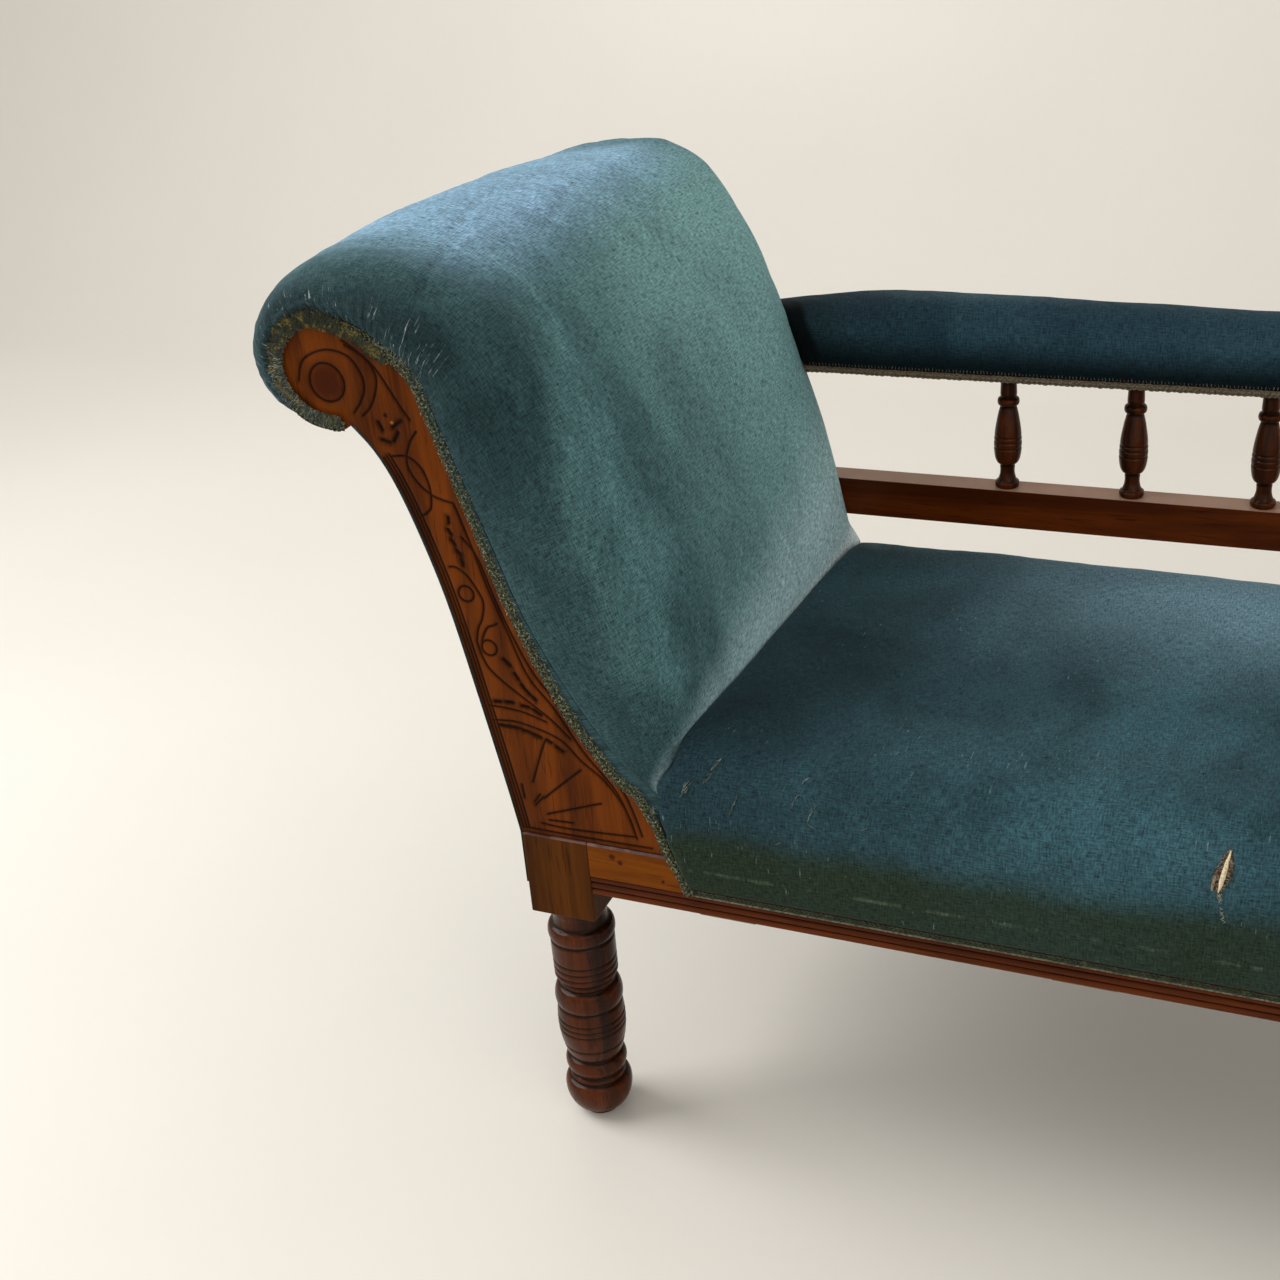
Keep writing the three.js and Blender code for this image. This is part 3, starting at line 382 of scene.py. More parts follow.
class Bench:
    def __init__(self, tree):
        self.tree = tree

    def node(self, kind, settings=None, inputs=None, output=0):
        made = self.tree.nodes.new(kind)
        for key, value in (settings or {}).items():
            if key == "stops":
                for place, colour in value[2:]:
                    made.color_ramp.elements.new(place)
                for element, (place, colour) in zip(made.color_ramp.elements, sorted(value)):
                    element.position = place
                    element.color = colour
            else:
                setattr(made, key, value)
        for key, value in (inputs or {}).items():
            self.feed(made.inputs[key], value)
        return Wire(self, made.outputs[output])

    def feed(self, socket, value):
        if isinstance(value, Wire):
            self.tree.links.new(value.socket, socket)
        else:
            socket.default_value = value

    def clamp(self, value):
        return self.node("ShaderNodeClamp", None, {0: value})

    def ramp(self, value, low, high):  # 0 below low, 1 above high, soft between
        return self.node("ShaderNodeMapRange", {"interpolation_type": "SMOOTHSTEP"}, {0: value, 1: low, 2: high})

    def mix(self, share, first, second, blend="MIX"):
        return self.node("ShaderNodeMix", {"data_type": "RGBA", "blend_type": blend},
                         {0: share, 6: first, 7: second}, output=2)

    def scaled(self, colour, share):
        return self.node("ShaderNodeVectorMath", {"operation": "SCALE"}, {0: colour, "Scale": share})

    def near(self, place, radius, soft):  # 1 at a place of the drawing, 0 from radius onwards, in millimetres
        away = self.node("ShaderNodeVectorMath", {"operation": "DISTANCE"},
                         {0: self.place, 1: tuple(start + np.array(place) * mm)}, output=1)
        return 1 - self.ramp(away, (1 - soft) * radius * mm, radius * mm)

    def stretched(self, vector, scale, turn=(0.0, 0.0, 0.0), shift=(0.0, 0.0, 0.0)):
        return self.node("ShaderNodeMapping", None,
                         {"Vector": vector, "Scale": scale, "Rotation": turn, "Location": shift})

    def noise(self, vector, scale, detail=3.0, roughness=0.55, distortion=0.0):
        return self.node("ShaderNodeTexNoise", None, {
            "Vector": vector, "Scale": scale, "Detail": detail, "Roughness": roughness, "Distortion": distortion})


def tint(red, green, blue):  # a screen colour as the shader's linear one
    linear = [((c / 255 + 0.055) / 1.055) ** 2.4 if c > 10 else c / 255 / 12.92 for c in (red, green, blue)]
    return (*linear, 1.0)


class Paint(Bench):
    def __init__(self, name, **constants):
        self.material = bpy.data.materials.new(name)
        self.material.use_nodes = True
        super().__init__(self.material.node_tree)
        self.shader = self.tree.nodes["Principled BSDF"]
        for key, value in constants.items():
            self.shader.inputs[key.replace("_", " ")].default_value = value
        self.place = self.node("ShaderNodeTexCoord", None, None, output=3)  # Object coordinates
        self.axes = [self.node("ShaderNodeSeparateXYZ", None, {0: self.place}, output=k) for k in range(3)]

    def finish(self, colour, roughness, height=None, depth=0.001, strength=1.0, **others):
        self.feed(self.shader.inputs["Base Color"], colour)
        self.feed(self.shader.inputs["Roughness"], roughness)
        for key, value in others.items():
            self.feed(self.shader.inputs[key.replace("_", " ")], value)
        if height is not None:
            bump = self.node("ShaderNodeBump", None, {"Strength": strength, "Distance": depth, "Height": height})
            self.feed(self.shader.inputs["Normal"], bump)
        return self.material


def attribute(bench, name, output=1):  # 1 is the vector, 2 the number
    return bench.node("ShaderNodeAttribute", {"attribute_name": name}, None, output=output)


# Woods: long grain along one axis, pores, figure and wear. Cut places are darkened with grime and painted shade,
# arrises rubbed and given a painted highlight.

def woodPaint(name, grain, light, dark, roughness, coat, carved=False, spots=(), wornAbove=None):
    paint = Paint(name, Coat_Weight=coat, Coat_Roughness=0.13)
    paint.shader.inputs["Specular IOR Level"].default_value = 0.05
    long, wide = 2.2, 34.0
    scale = {"x": (long, wide, wide), "y": (wide, long, wide), "z": (wide, wide, long)}[grain]
    fine = tuple(7 * side for side in scale)
    rings = paint.noise(paint.stretched(paint.place, scale), 1.0, 5.0, 0.62, 0.6)
    pores = paint.noise(paint.stretched(paint.place, fine), 1.6, 2.0, 0.7)
    cloud = paint.noise(paint.place, 9.0, 2.0, 0.5)
    stains = paint.noise(paint.place, 28.0, 4.0, 0.6)
    poreMask = paint.ramp(pores, 0.56, 0.70)
    tone = paint.clamp(paint.ramp(rings, 0.32, 0.70) * 0.85 + (cloud - 0.5) * 0.5)
    colour = paint.mix(tone, dark, light)
    colour = paint.mix(poreMask * 0.5, colour, tuple(0.35 * c for c in dark[:3]) + (1.0,))
    colour = paint.scaled(colour, 0.84 + stains * 0.32)
    height = rings * 0.25 - poreMask * 0.4
    for place, radius, shade in spots:
        colour = paint.mix(paint.near(place, radius, 0.7) * paint.ramp(stains, 0.36, 0.5) * 0.9, colour, shade)
    if wornAbove is not None:
        top = (wornAbove * mm, wornAbove * mm + 0.0006)
        worn = paint.ramp(paint.axes[2], *top) * (1 - paint.ramp(paint.axes[2], top[1] + 0.002, top[1] + 0.003))
        colour = paint.mix(worn * (0.6 + stains * 0.4), colour, tint(176, 142, 122))
    rough = paint.clamp(roughness + (cloud - 0.5) * 0.18 + poreMask * 0.15)
    if carved:
        # cut lines and hollows darkened: grime and painted shade
        cutShare = attribute(paint, "carved", 2)
        grimeAndShade = paint.clamp(cutShare * (0.95 + (cloud - 0.5) * 0.4))
        colour = paint.mix(grimeAndShade, colour, tint(22, 8, 2))
        edge = attribute(paint, "edge", 2)
        colour = paint.mix(paint.clamp(edge * (stains + 0.25)), colour, tint(40, 17, 6))
        rough = paint.clamp(rough + grimeAndShade * 0.3)
    return paint.finish(colour, rough, height, 0.00035, 0.5)


# Spots of other colour on the panel and the front rail; the small pale gold one on the panel is a painted highlight
woodSpots = {
    "panel": [((-101, panelOuter, 694), 2.2, tint(176, 120, 52)), ((-106, panelOuter, 700), 3.0, tint(20, 10, 8)),
              ((-156, panelOuter, 724), 26.0, tint(56, 18, 2))],
    "rail": [((54.4, frontFace, 312.9), 4.2, tint(60, 20, 4)), ((61.5, frontFace, 308.1), 3.6, tint(58, 20, 4)),
             ((100.4, frontFace, 296.3), 2.2, tint(14, 6, 2))],
}
railTints = tint(140, 76, 4), tint(96, 46, 2)
reedTints = tint(108, 50, 15), tint(64, 26, 8)
showWood = woodPaint("varnished walnut panel", "z", tint(120, 58, 6), tint(70, 30, 2), 0.42, 0.02, carved=True,
                     spots=woodSpots["panel"])
railWood = woodPaint("varnished walnut rail", "x", *railTints, 0.40, 0.02, spots=woodSpots["rail"])
reedWood = woodPaint("varnished walnut reeds", "x", *reedTints, 0.34, 0.08, carved=True)
footReedWood = woodPaint("varnished walnut foot reeds", "y", *reedTints, 0.34, 0.08, carved=True)
footWood = woodPaint("varnished walnut foot rail", "y", *railTints, 0.40, 0.02)
blockWood = woodPaint("varnished walnut block", "z", tint(100, 54, 4), tint(58, 28, 1), 0.46, 0.02)
turnedWood = woodPaint("dark polished turning", "z", tint(98, 45, 10), tint(36, 13, 3), 0.28, 0.2, carved=True)
galleryWood = woodPaint("polished gallery rail", "x", tint(112, 50, 10), tint(66, 26, 4), 0.34, 0.12,
                        wornAbove=lowerRailHigh[2] - 0.7)
bracketWood = woodPaint("polished bracket", "z", tint(100, 48, 14), tint(58, 25, 7), 0.38, 0.25)
insideWood = woodPaint("rough beech inside", "x", tint(176, 146, 104), tint(136, 104, 68), 0.8, 0.0)
insideWoodUp = woodPaint("rough beech blocks", "z", tint(172, 142, 100), tint(130, 100, 66), 0.8, 0.0)


def arrisPaint():  # pale rubbed edge with a painted highlight where two boards meet
    paint = Paint("rubbed arris")
    rubsAndGlints = paint.noise(paint.stretched(paint.place, (60.0, 60.0, 60.0)), 1.0, 3.0, 0.6)
    # paler in patches: rubbed wear and a painted highlight, stronger along X
    colour = paint.mix(paint.ramp(rubsAndGlints, 0.42, 0.60) * (0.25 + paint.ramp(paint.axes[0], 0.0, 0.06) * 0.75),
                       tint(70, 34, 24), tint(172, 130, 116))
    return paint.finish(colour, paint.clamp(0.3 + rubsAndGlints * 0.3), rubsAndGlints, 0.0003, 0.4)


arrisWearAndHighlight = arrisPaint()
print("couch: woods mixed")


# Velvet: pile in soft patches, a mottled grain, short threads both ways, rubbed places, and painted sheen,
# highlights and shade by region.
# The cover's own measures are across it, along it and from its nearer edge.

def velvetPaint(name, deep, middle, pale, sheen, contrast, marks):
    paint = Paint(name, Sheen_Weight=sheen["weight"], Sheen_Roughness=sheen["roughness"],
                  Sheen_Tint=sheen["tint"])
    paint.shader.inputs["Specular IOR Level"].default_value = 0.12
    cloth = attribute(paint, "unrolled")
    wires = {key: paint.node("ShaderNodeSeparateXYZ", None, {0: cloth}, output=k)
             for k, key in enumerate(("across", "along", "edge"))}
    wires["patches"] = paint.noise(paint.stretched(cloth, (7.0, 6.0, 5.0)), 1.0, 3.0, 0.5, 0.6)
    wires["brushed"] = paint.noise(paint.stretched(cloth, (30.0, 12.0, 9.0)), 1.0, 4.0, 0.62, 0.5)
    threads = paint.noise(paint.stretched(cloth, (760.0, 120.0, 0.0)), 1.0, 2.0, 0.5)
    ribs = paint.noise(paint.stretched(cloth, (120.0, 760.0, 0.0)), 1.0, 2.0, 0.5)
    grain = paint.noise(cloth, 640.0, 3.0, 0.7)
    tone = paint.clamp(paint.ramp(wires["patches"], 0.34, 0.66) * 0.6 + paint.ramp(wires["brushed"], 0.3, 0.7) * 0.4)
    colour = marks(paint, paint.mix(tone, deep, middle), pale, cloth, **wires)
    weave = threads * 0.36 + ribs * 0.36 + grain * 0.28
    colour = paint.scaled(colour, paint.clamp(0.55 + (weave - 0.5) * contrast) * 1.82)
    height = threads * 0.3 + ribs * 0.3 + grain * 0.5 + wires["brushed"] * 0.5
    rough = paint.clamp(0.84 + (wires["brushed"] - 0.5) * 0.2)
    return paint.finish(colour, rough, height, 0.0006, 0.5)


# mixes towards a paler colour, for rubbed wear and for painted sheen and highlights
def rubbedAndLit(paint, colour, share, pale):
    return paint.mix(paint.clamp(share), colour, pale)


headVelvet = {
    "deep": tint(50, 80, 86), "middle": tint(93, 133, 138), "pale": tint(184, 218, 226),
    "sheen": {"weight": 0.25, "roughness": 0.4, "tint": tint(150, 185, 205)}, "contrast": 3.0,
}
seatVelvet = {
    "deep": tint(34, 60, 68), "middle": tint(56, 90, 101), "pale": tint(112, 138, 140),
    "sheen": {"weight": 0.15, "roughness": 0.4, "tint": tint(150, 180, 195)}, "contrast": 2.8,
}
armVelvet = {
    "deep": tint(24, 48, 60), "middle": tint(44, 72, 84), "pale": tint(104, 130, 136),
    "sheen": {"weight": 0.12, "roughness": 0.35, "tint": tint(150, 180, 200)}, "contrast": 2.6,
}


seatWear = [
    ((329.6, -36, 386), 4.0, tint(140, 140, 120)), ((286, -36, 412), 4.0, tint(120, 126, 116)),
    ((549, -36, 392), 13.0, tint(46, 52, 50)),
]


def headMarks(paint, colour, pale, cloth, across, along, edge, patches, brushed):
    lit = brushed * 1.2 + 0.4
    band = 1 - paint.ramp(across + (patches - 0.5) * 0.04, 0.035, 0.13 + paint.ramp(along, 0.28, 0.42) * 0.07)
    colour = paint.mix(band * (0.66 + paint.ramp(along, 0.28, 0.42) * 0.12), colour, tint(22, 38, 42))
    # painted sheen: the back half of the head's face is paler
    backHalf = paint.ramp(across, 0.12, 0.44) * (1 - paint.ramp(along, 0.42, 0.52))
    colour = rubbedAndLit(paint, colour, backHalf * (0.78 + (patches - 0.5) * 1.1), tint(126, 171, 173))
    # painted light on the roll's top, which faces the lamp
    rollTop = paint.ramp(along, 0.42, 0.52) * (1 - paint.ramp(along, 0.64, 0.74)) * paint.ramp(edge, 0.085, 0.20)
    colour = rubbedAndLit(paint, colour, rollTop * lit * 0.62, tint(142, 178, 212))
    hatch = paint.noise(paint.stretched(cloth, (300.0, 70.0, 0.0), (0.0, 0.0, 0.5)), 1.0, 3.0, 0.6)
    colour = paint.scaled(colour, 1 + (hatch - 0.5) * rollTop * 1.5)
    # painted sheen on the head's face near the seam with the seat
    nearSeam = 1 - paint.ramp(along / (across * 0.34 + 0.028), 0.2, 1.05)
    colour = rubbedAndLit(paint, colour, nearSeam * lit * 0.95, pale)
    # painted highlight: a bright pale line along the seam
    seam = 1 - paint.ramp(along + (brushed - 0.5) * 0.02, 0.016, 0.042)
    colour = rubbedAndLit(paint, colour, seam * paint.ramp(across, 0.0, 0.12) * 0.75, tint(224, 238, 242))
    # gathered cloth at the scroll's edge: painted shade over the gathers, pale scratch streaks and dark streaks of
    # painted shade between them
    gathered = (1 - paint.ramp(edge + (patches - 0.5) * 0.03, 0.035, 0.065)) * paint.ramp(along, 0.40, 0.46)
    colour = paint.mix(gathered * 0.35, colour, tint(16, 28, 32))
    lines = paint.noise(paint.stretched(cloth, (26.0, 420.0, 0.0)), 1.0, 3.0, 0.6, 0.9)
    colour = rubbedAndLit(paint, colour, gathered * paint.ramp(lines, 0.63, 0.69) * 0.7, tint(176, 188, 188))
    return paint.mix(gathered * (1 - paint.ramp(lines, 0.34, 0.42)) * 0.6, colour, tint(12, 22, 26))


def seatMarks(paint, colour, pale, cloth, across, along, edge, patches, brushed):
    height = paint.axes[2]
    # painted shadow of the head end over the seat beside it
    headShadow = 1 - paint.ramp(across + (patches - 0.5) * 0.2, 0.14, 0.52)
    headShadow = headShadow * (1 - paint.ramp(along, 0.16, 0.42) * 0.6)
    colour = paint.mix(headShadow * 0.66, colour, tint(18, 34, 40))
    # painted light: the back of the seat is paler
    back = paint.ramp(along, 0.16, 0.44) * paint.ramp(across, 0.18, 0.46)
    colour = rubbedAndLit(paint, colour, back * 0.8 * (patches + 0.5), tint(114, 148, 165))
    border = 1 - paint.ramp(height + (patches - 0.5) * 0.03, 0.340, 0.376)
    colour = paint.mix(border * 0.85, colour, tint(36, 47, 28))
    fold = paint.ramp(height + (brushed - 0.5) * 0.004, 0.3165, 0.318) * (1 - paint.ramp(height, 0.3195, 0.321))
    colour = rubbedAndLit(paint, colour, fold * paint.ramp(brushed, 0.46, 0.6) * 0.3, tint(96, 110, 90))
    scuffs = paint.noise(paint.stretched(cloth, (420.0, 62.0, 0.0), (0.0, 0.0, 0.35)), 1.0, 2.0, 0.5)
    places = paint.noise(cloth, 12.0, 2.0, 0.5)
    share = paint.ramp(scuffs, 0.66, 0.72) * paint.ramp(places, 0.50, 0.62)
    colour = rubbedAndLit(paint, colour, share * 0.5, pale)
    for place, radius, shade in seatWear:
        colour = paint.mix(paint.clamp(paint.near(place, radius, 0.8) * (0.2 + brushed * 1.2)), colour, shade)
    return colour


def armMarks(paint, colour, pale, cloth, across, along, edge, patches, brushed):
    height = paint.axes[2]
    # painted shade over the arm's top
    above = paint.ramp(height, 0.622, 0.645)
    colour = paint.mix(above * 0.5, colour, tint(22, 42, 54))
    # painted highlight: a thin pale line along the arm's top
    colour = rubbedAndLit(paint, colour, paint.ramp(height, 0.650, 0.656) * brushed * 0.3, pale)
    # painted shadow on the arm near the head end
    headShadow = 1 - paint.ramp(across + (patches - 0.5) * 0.08, 0.05, 0.24)
    colour = paint.mix(headShadow * 0.5, colour, tint(16, 26, 26))
    # painted shade on the lower part of the arm
    low = 1 - paint.ramp(height, 0.592, 0.626)
    colour = paint.mix(low * 0.92, colour, tint(4, 17, 21))
    # painted shadow: a dark strip where the arm meets the head end
    return paint.mix(1 - paint.ramp(edge + (brushed - 0.5) * 0.01, 0.016, 0.024), colour, tint(4, 11, 12))


headCover = velvetPaint("velvet of the head end", marks=headMarks, **headVelvet)
seatCover = velvetPaint("velvet of the seat", marks=seatMarks, **seatVelvet)
armCover = velvetPaint("velvet of the arm", marks=armMarks, **armVelvet)


def clothPaint(name, deep, pale, count):
    paint = Paint(name, Sheen_Weight=0.1)
    warp, weft = (paint.node("ShaderNodeTexWave", {"bands_direction": way}, {
        "Vector": paint.place, "Scale": count, "Distortion": 1.2, "Detail Scale": 3.0}) for way in "XY")
    fading = paint.noise(paint.place, 12.0, 4.0, 0.6)
    weave = warp * 0.5 + weft * 0.5
    colour = paint.mix(paint.clamp(weave * 0.5 + paint.ramp(fading, 0.3, 0.7) * 0.5), deep, pale)
    return paint.finish(colour, 0.92, weave, 0.0005, 0.5)


def braidPaint(name, colours, spread):
    paint = Paint(name, Sheen_Weight=0.15)
    patches = paint.noise(paint.place, spread, 3.0, 0.7)
    colour = paint.node("ShaderNodeValToRGB", {"stops": [
        (0.36, colours[0]), (0.47, colours[1]), (0.56, colours[2]), (0.63, colours[3])]}, {0: patches})
    fibres = paint.noise(paint.place, 1800.0, 2.0, 0.6)
    colour = paint.mix(0.4, colour, paint.mix(fibres, tint(70, 70, 70), tint(180, 180, 180)), "OVERLAY")
    return paint.finish(colour, 0.9, fibres, 0.0004, 0.6)


headBraid = braidPaint("faded green and gold braid", [
    tint(14, 24, 14), tint(40, 54, 24), tint(84, 94, 58), tint(184, 180, 136)], 520.0)
fringeThread = braidPaint("frayed gold thread", [
    tint(20, 28, 12), tint(34, 42, 16), tint(56, 60, 24), tint(122, 104, 34)], 150.0)
seatBraid = braidPaint("dark green edging", [
    tint(22, 32, 14), tint(36, 48, 22), tint(48, 60, 30), tint(70, 80, 50)], 120.0)
paleCord = braidPaint("pale edge cord", [
    tint(66, 70, 48), tint(98, 100, 74), tint(128, 126, 100), tint(84, 80, 58)], 160.0)
armBraid = braidPaint("beige woven band", [
    tint(70, 60, 46), tint(112, 98, 76), tint(146, 130, 104), tint(96, 88, 70)], 500.0)
woolThread = braidPaint("pulled thread", [
    tint(60, 74, 72), tint(92, 108, 104), tint(132, 142, 132), tint(168, 170, 150)], 90.0)
tornCloth = braidPaint("torn backing", [
    tint(26, 14, 8), tint(60, 36, 22), tint(112, 78, 52), tint(176, 140, 104)], 420.0)
wadding = braidPaint("cream wadding", [
    tint(196, 182, 150), tint(226, 214, 184), tint(240, 232, 208), tint(206, 188, 150)], 300.0)
paleEdge = braidPaint("torn edge", [
    tint(96, 78, 60), tint(140, 120, 96), tint(176, 158, 130), tint(120, 98, 76)], 300.0)
juteCloth = clothPaint("jute webbing", tint(118, 92, 58), tint(172, 146, 102), 420.0)
blackCloth = clothPaint("black bottoming cloth", tint(22, 20, 19), tint(46, 43, 40), 700.0)
steelPaint = Paint("old spring steel", Metallic=0.9)
rust = steelPaint.ramp(steelPaint.noise(steelPaint.place, 60.0, 4.0, 0.7), 0.48, 0.66)
springSteel = steelPaint.finish(
    steelPaint.mix(rust, tint(120, 116, 110), tint(96, 62, 40)), steelPaint.clamp(0.4 + rust * 0.4), rust, 0.0004)
print("couch: cloths mixed")


def dressed(piece, slotName, finish, *nodes):  # finish, slot (not used), body and the nodes it stands for
    piece.data.materials.clear()
    for each in finish if isinstance(finish, list) else [finish]:
        piece.data.materials.append(each)
    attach(piece, "root")
    if nodes:
        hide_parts(*nodes)
    return piece


def repaint(finish, *nodes):  # CAD nodes whose shape stays
    for node in nodes:
        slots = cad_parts[node].data.materials
        slots.clear()
        slots.append(finish)


# Geometry Nodes: one tree sets a small shape on every mark of a piece. A mark is a point with
# its direction along the work and outwards from it.

def repeatTree():
    tree = bpy.data.node_groups.new("set on marks", "GeometryNodeTree")
    for name, kind in (("Marks", "Geometry"), ("Shape", "Object"), ("Turn of every other one", "Float"),
                       ("Loose turn", "Float"), ("Smallest", "Float"), ("Largest", "Float"), ("Finish", "Material")):
        tree.interface.new_socket(name, in_out="INPUT", socket_type="NodeSocket" + kind)
    tree.interface.new_socket("Piece", in_out="OUTPUT", socket_type="NodeSocketGeometry")
    bench = Bench(tree)
    given = tree.nodes.new("NodeGroupInput")
    marks, shape, turn, loose, smallest, largest, finish = (Wire(bench, given.outputs[k]) for k in range(7))
    along, outward = (bench.node("GeometryNodeInputNamedAttribute", {"data_type": "FLOAT_VECTOR"}, {"Name": name})
                      for name in ("along", "outward"))
    facing = bench.node("FunctionNodeAxesToRotation", {"primary_axis": "Z", "secondary_axis": "X"},
                        {0: outward, 1: along})
    number = bench.node("GeometryNodeInputIndex")
    everyOther = number.sum("MODULO", number, 2.0)
    wobble = bench.node("FunctionNodeRandomValue", {"data_type": "FLOAT"}, {2: -1.0, 3: 1.0, "Seed": 11}, output=1)
    angle = everyOther * turn + wobble * loose
    spin = bench.node("FunctionNodeAxisAngleToRotation", None, {0: (0.0, 0.0, 1.0), 1: angle})
    turned = bench.node("FunctionNodeRotateRotation", {"rotation_space": "LOCAL"}, {0: facing, 1: spin})
    chance = bench.node("FunctionNodeRandomValue", {"data_type": "FLOAT"}, {2: 0.0, 3: 1.0, "Seed": 5}, output=1)
    size = smallest + chance * (largest - smallest)
    pattern = bench.node("GeometryNodeObjectInfo", {"transform_space": "ORIGINAL"}, {"Object": shape}, output=4)
    placed = bench.node("GeometryNodeInstanceOnPoints", None, {
        "Points": marks, "Instance": pattern, "Rotation": turned, "Scale": size})
    real = bench.node("GeometryNodeRealizeInstances", None, {0: placed})
    painted = bench.node("GeometryNodeSetMaterial", None, {"Geometry": real, "Material": finish})
    bench.feed(tree.nodes.new("NodeGroupOutput").inputs[0], painted)
    return tree


setOnMarks = repeatTree()


def repeated(name, marks, along, outward, shape, finish, turn=0.0, loose=0.0, sizes=(1.0, 1.0), cavity=None):
    points, faces = shape
    pattern = linked("pattern", bpy.data.meshes.new("pattern"))
    pattern.data.from_pydata((np.asarray(points) * mm).tolist(), [], [tuple(face) for face in faces])
    if cavity is not None:
        setShares(pattern.data, "carved", cavity)
    pattern.data.shade_smooth()
    mesh = bpy.data.meshes.new(name)
    mesh.from_pydata((start + np.asarray(marks, float) * mm).tolist(), [], [])
    for key, rows in (("along", along), ("outward", outward)):
        layer = mesh.attributes.new(key, "FLOAT_VECTOR", "POINT")
        layer.data.foreach_set("vector", np.broadcast_to(np.asarray(rows, float), (len(marks), 3)).ravel())
    piece = linked(name, mesh)
    modifier = piece.modifiers.new("set on marks", "NODES")
    modifier.node_group = setOnMarks
    wanted = {"Shape": pattern, "Turn of every other one": turn, "Loose turn": loose,
              "Smallest": sizes[0], "Largest": sizes[1], "Finish": finish}
    for item in setOnMarks.interface.items_tree:
        if item.in_out == "INPUT" and item.name in wanted:
            modifier[item.identifier] = wanted[item.name]
    applied(piece)
    bpy.data.objects.remove(pattern)
    return piece


def scattered(slotName, name, marks, along, outward, shape, finish, *nodes, **looks):  # repeated and dressed
    return dressed(repeated(name, marks, along, outward, shape, finish, **looks), slotName, finish, *nodes)


# Turnings: each row is a height, the radius there, how far the line bulges on its way there
# from the row below, and how round that bulge is
legTurning = {
    "sides": 72, "spacing": 0.75, "softness": 0.5, "chamfer": 1.4, "block": 83.0,
    "grooves": [178, 171, 164, 113, 107, 101, 82], "grooveDepth": 1.6, "grooveWidth": 1.6,
    "rows": [
        (0.0, 16.6, 0, 1), (0.9, 18.0, 0, 1), (5.6, 18.3, 0, 1), (6.4, 20.4, 0, 1), (39.6, 26.8, 7.4, 0.5),
        (40.4, 25.2, 0, 1), (45.0, 25.0, 0.9, 0.5), (45.6, 23.7, 0, 1), (49.0, 23.8, -0.4, 0.5),
        (66.0, 24.6, 4.6, 0.5), (66.6, 23.8, 0, 1), (68.2, 23.8, 0, 1), (69.0, 25.6, 0, 1), (124.0, 30.2, 3.4, 1),
        (124.5, 28.6, 0, 1), (126.6, 28.6, 0, 1), (147.5, 26.8, 3.8, 0.5), (148.2, 25.1, 0, 1), (150.0, 25.1, 0, 1),
        (153.8, 25.1, 0.8, 0.5), (155.6, 24.9, 0, 1), (161.0, 29.4, 1.0, 0.5), (198.6, 29.6, 0, 1),
        (199.3, 28.2, 0, 1), (201.6, 28.1, 0, 1), (216.2, 27.3, 3.2, 0.5), (217.2, 25.6, 0, 1),
        (229.0, 24.8, -0.6, 0.5), (240.4, 24.8, 0, 1)],
}
corners = {"front_head": (0, 0), "front_foot": (legSpanLength, 0), "back_foot": (legSpanLength, legSpanDepth),
           "back_head": (0, legSpanDepth)}


def turnedProfile(turning):  # radius and height, and how deep each place lies below its neighbours
    rows = turning["rows"]
    foot, head = rows[0][0], rows[-1][0]
    heights = np.linspace(foot, head, int(round((head - foot) / turning["spacing"])) + 1)
    radii = np.zeros(len(heights))
    for (low, before, *_), (high, after, bulge, power) in zip(rows, rows[1:]):
        here = (heights >= low) & (heights <= high)
        u = (heights[here] - low) / (high - low)
        radii[here] = before + (after - before) * u + bulge * (1 - (2 * u - 1) ** 2).clip(0) ** power
    for groove in turning["grooves"]:
        radii -= turning["grooveDepth"] * (1 - abs(heights - groove) / turning["grooveWidth"]).clip(0)
    radii = softened(radii, turning["softness"] / turning["spacing"])
    cavity = (softened(radii, 2.6 / turning["spacing"]) - radii) / 0.75
    return np.stack((radii, heights), axis=1), cavity


def carvedShares(piece, heights, cavity, below):  # grime and painted shade in the hollows of a turning, by height
    z = pointsOf(piece)[:, 2]
    setShares(piece.data, "carved", np.interp(z, heights, cavity.clip(0, 1)) * (z < below))


def makeLegs():
    profile, cavity = turnedProfile(legTurning)
    blockFoot = railTop - legTurning["block"]
    for corner, (x, y) in corners.items():
        turning = turnedShell(profile, legTurning["sides"], (x, y))
        block = chamferedBox((x - blockHalf, y - blockHalf, blockFoot), (x + blockHalf, y + blockHalf, railTop),
                             legTurning["chamfer"])
        piece = meshPiece("leg_turned_" + corner, *joinedShells([turning, block]))
        carvedShares(piece, profile[:, 1], cavity, blockFoot)
        dressed(piece, "turned_wood", [turnedWood, blockWood, arrisWearAndHighlight], "leg_" + corner)
        flatten(piece, 1, lambda middle: middle[2] > blockFoot - 0.5)
        flatten(piece, 2, lambda middle: middle[2] > railTop - arrisBand)
    print("couch: legs turned")


def flatten(piece, number, where):  # flat shading and another finish on the faces of square parts
    middles = (threesOf(piece.data.polygons, "center") - start) / mm
    for polygon, middle in zip(piece.data.polygons, middles):
        if where(middle):
            polygon.use_smooth = False
            polygon.material_index = number


makeLegs()


# Rails: the reeded ones are drawn again with round reeds, the others keep their shape
reeding = {"count": 3, "band": 20.0, "depth": 3.0, "crown": 0.9, "chamfer": 1.7}
bandTop = railBottom + reeding["band"]
hollowDepth = reeding["depth"] - reeding["crown"]


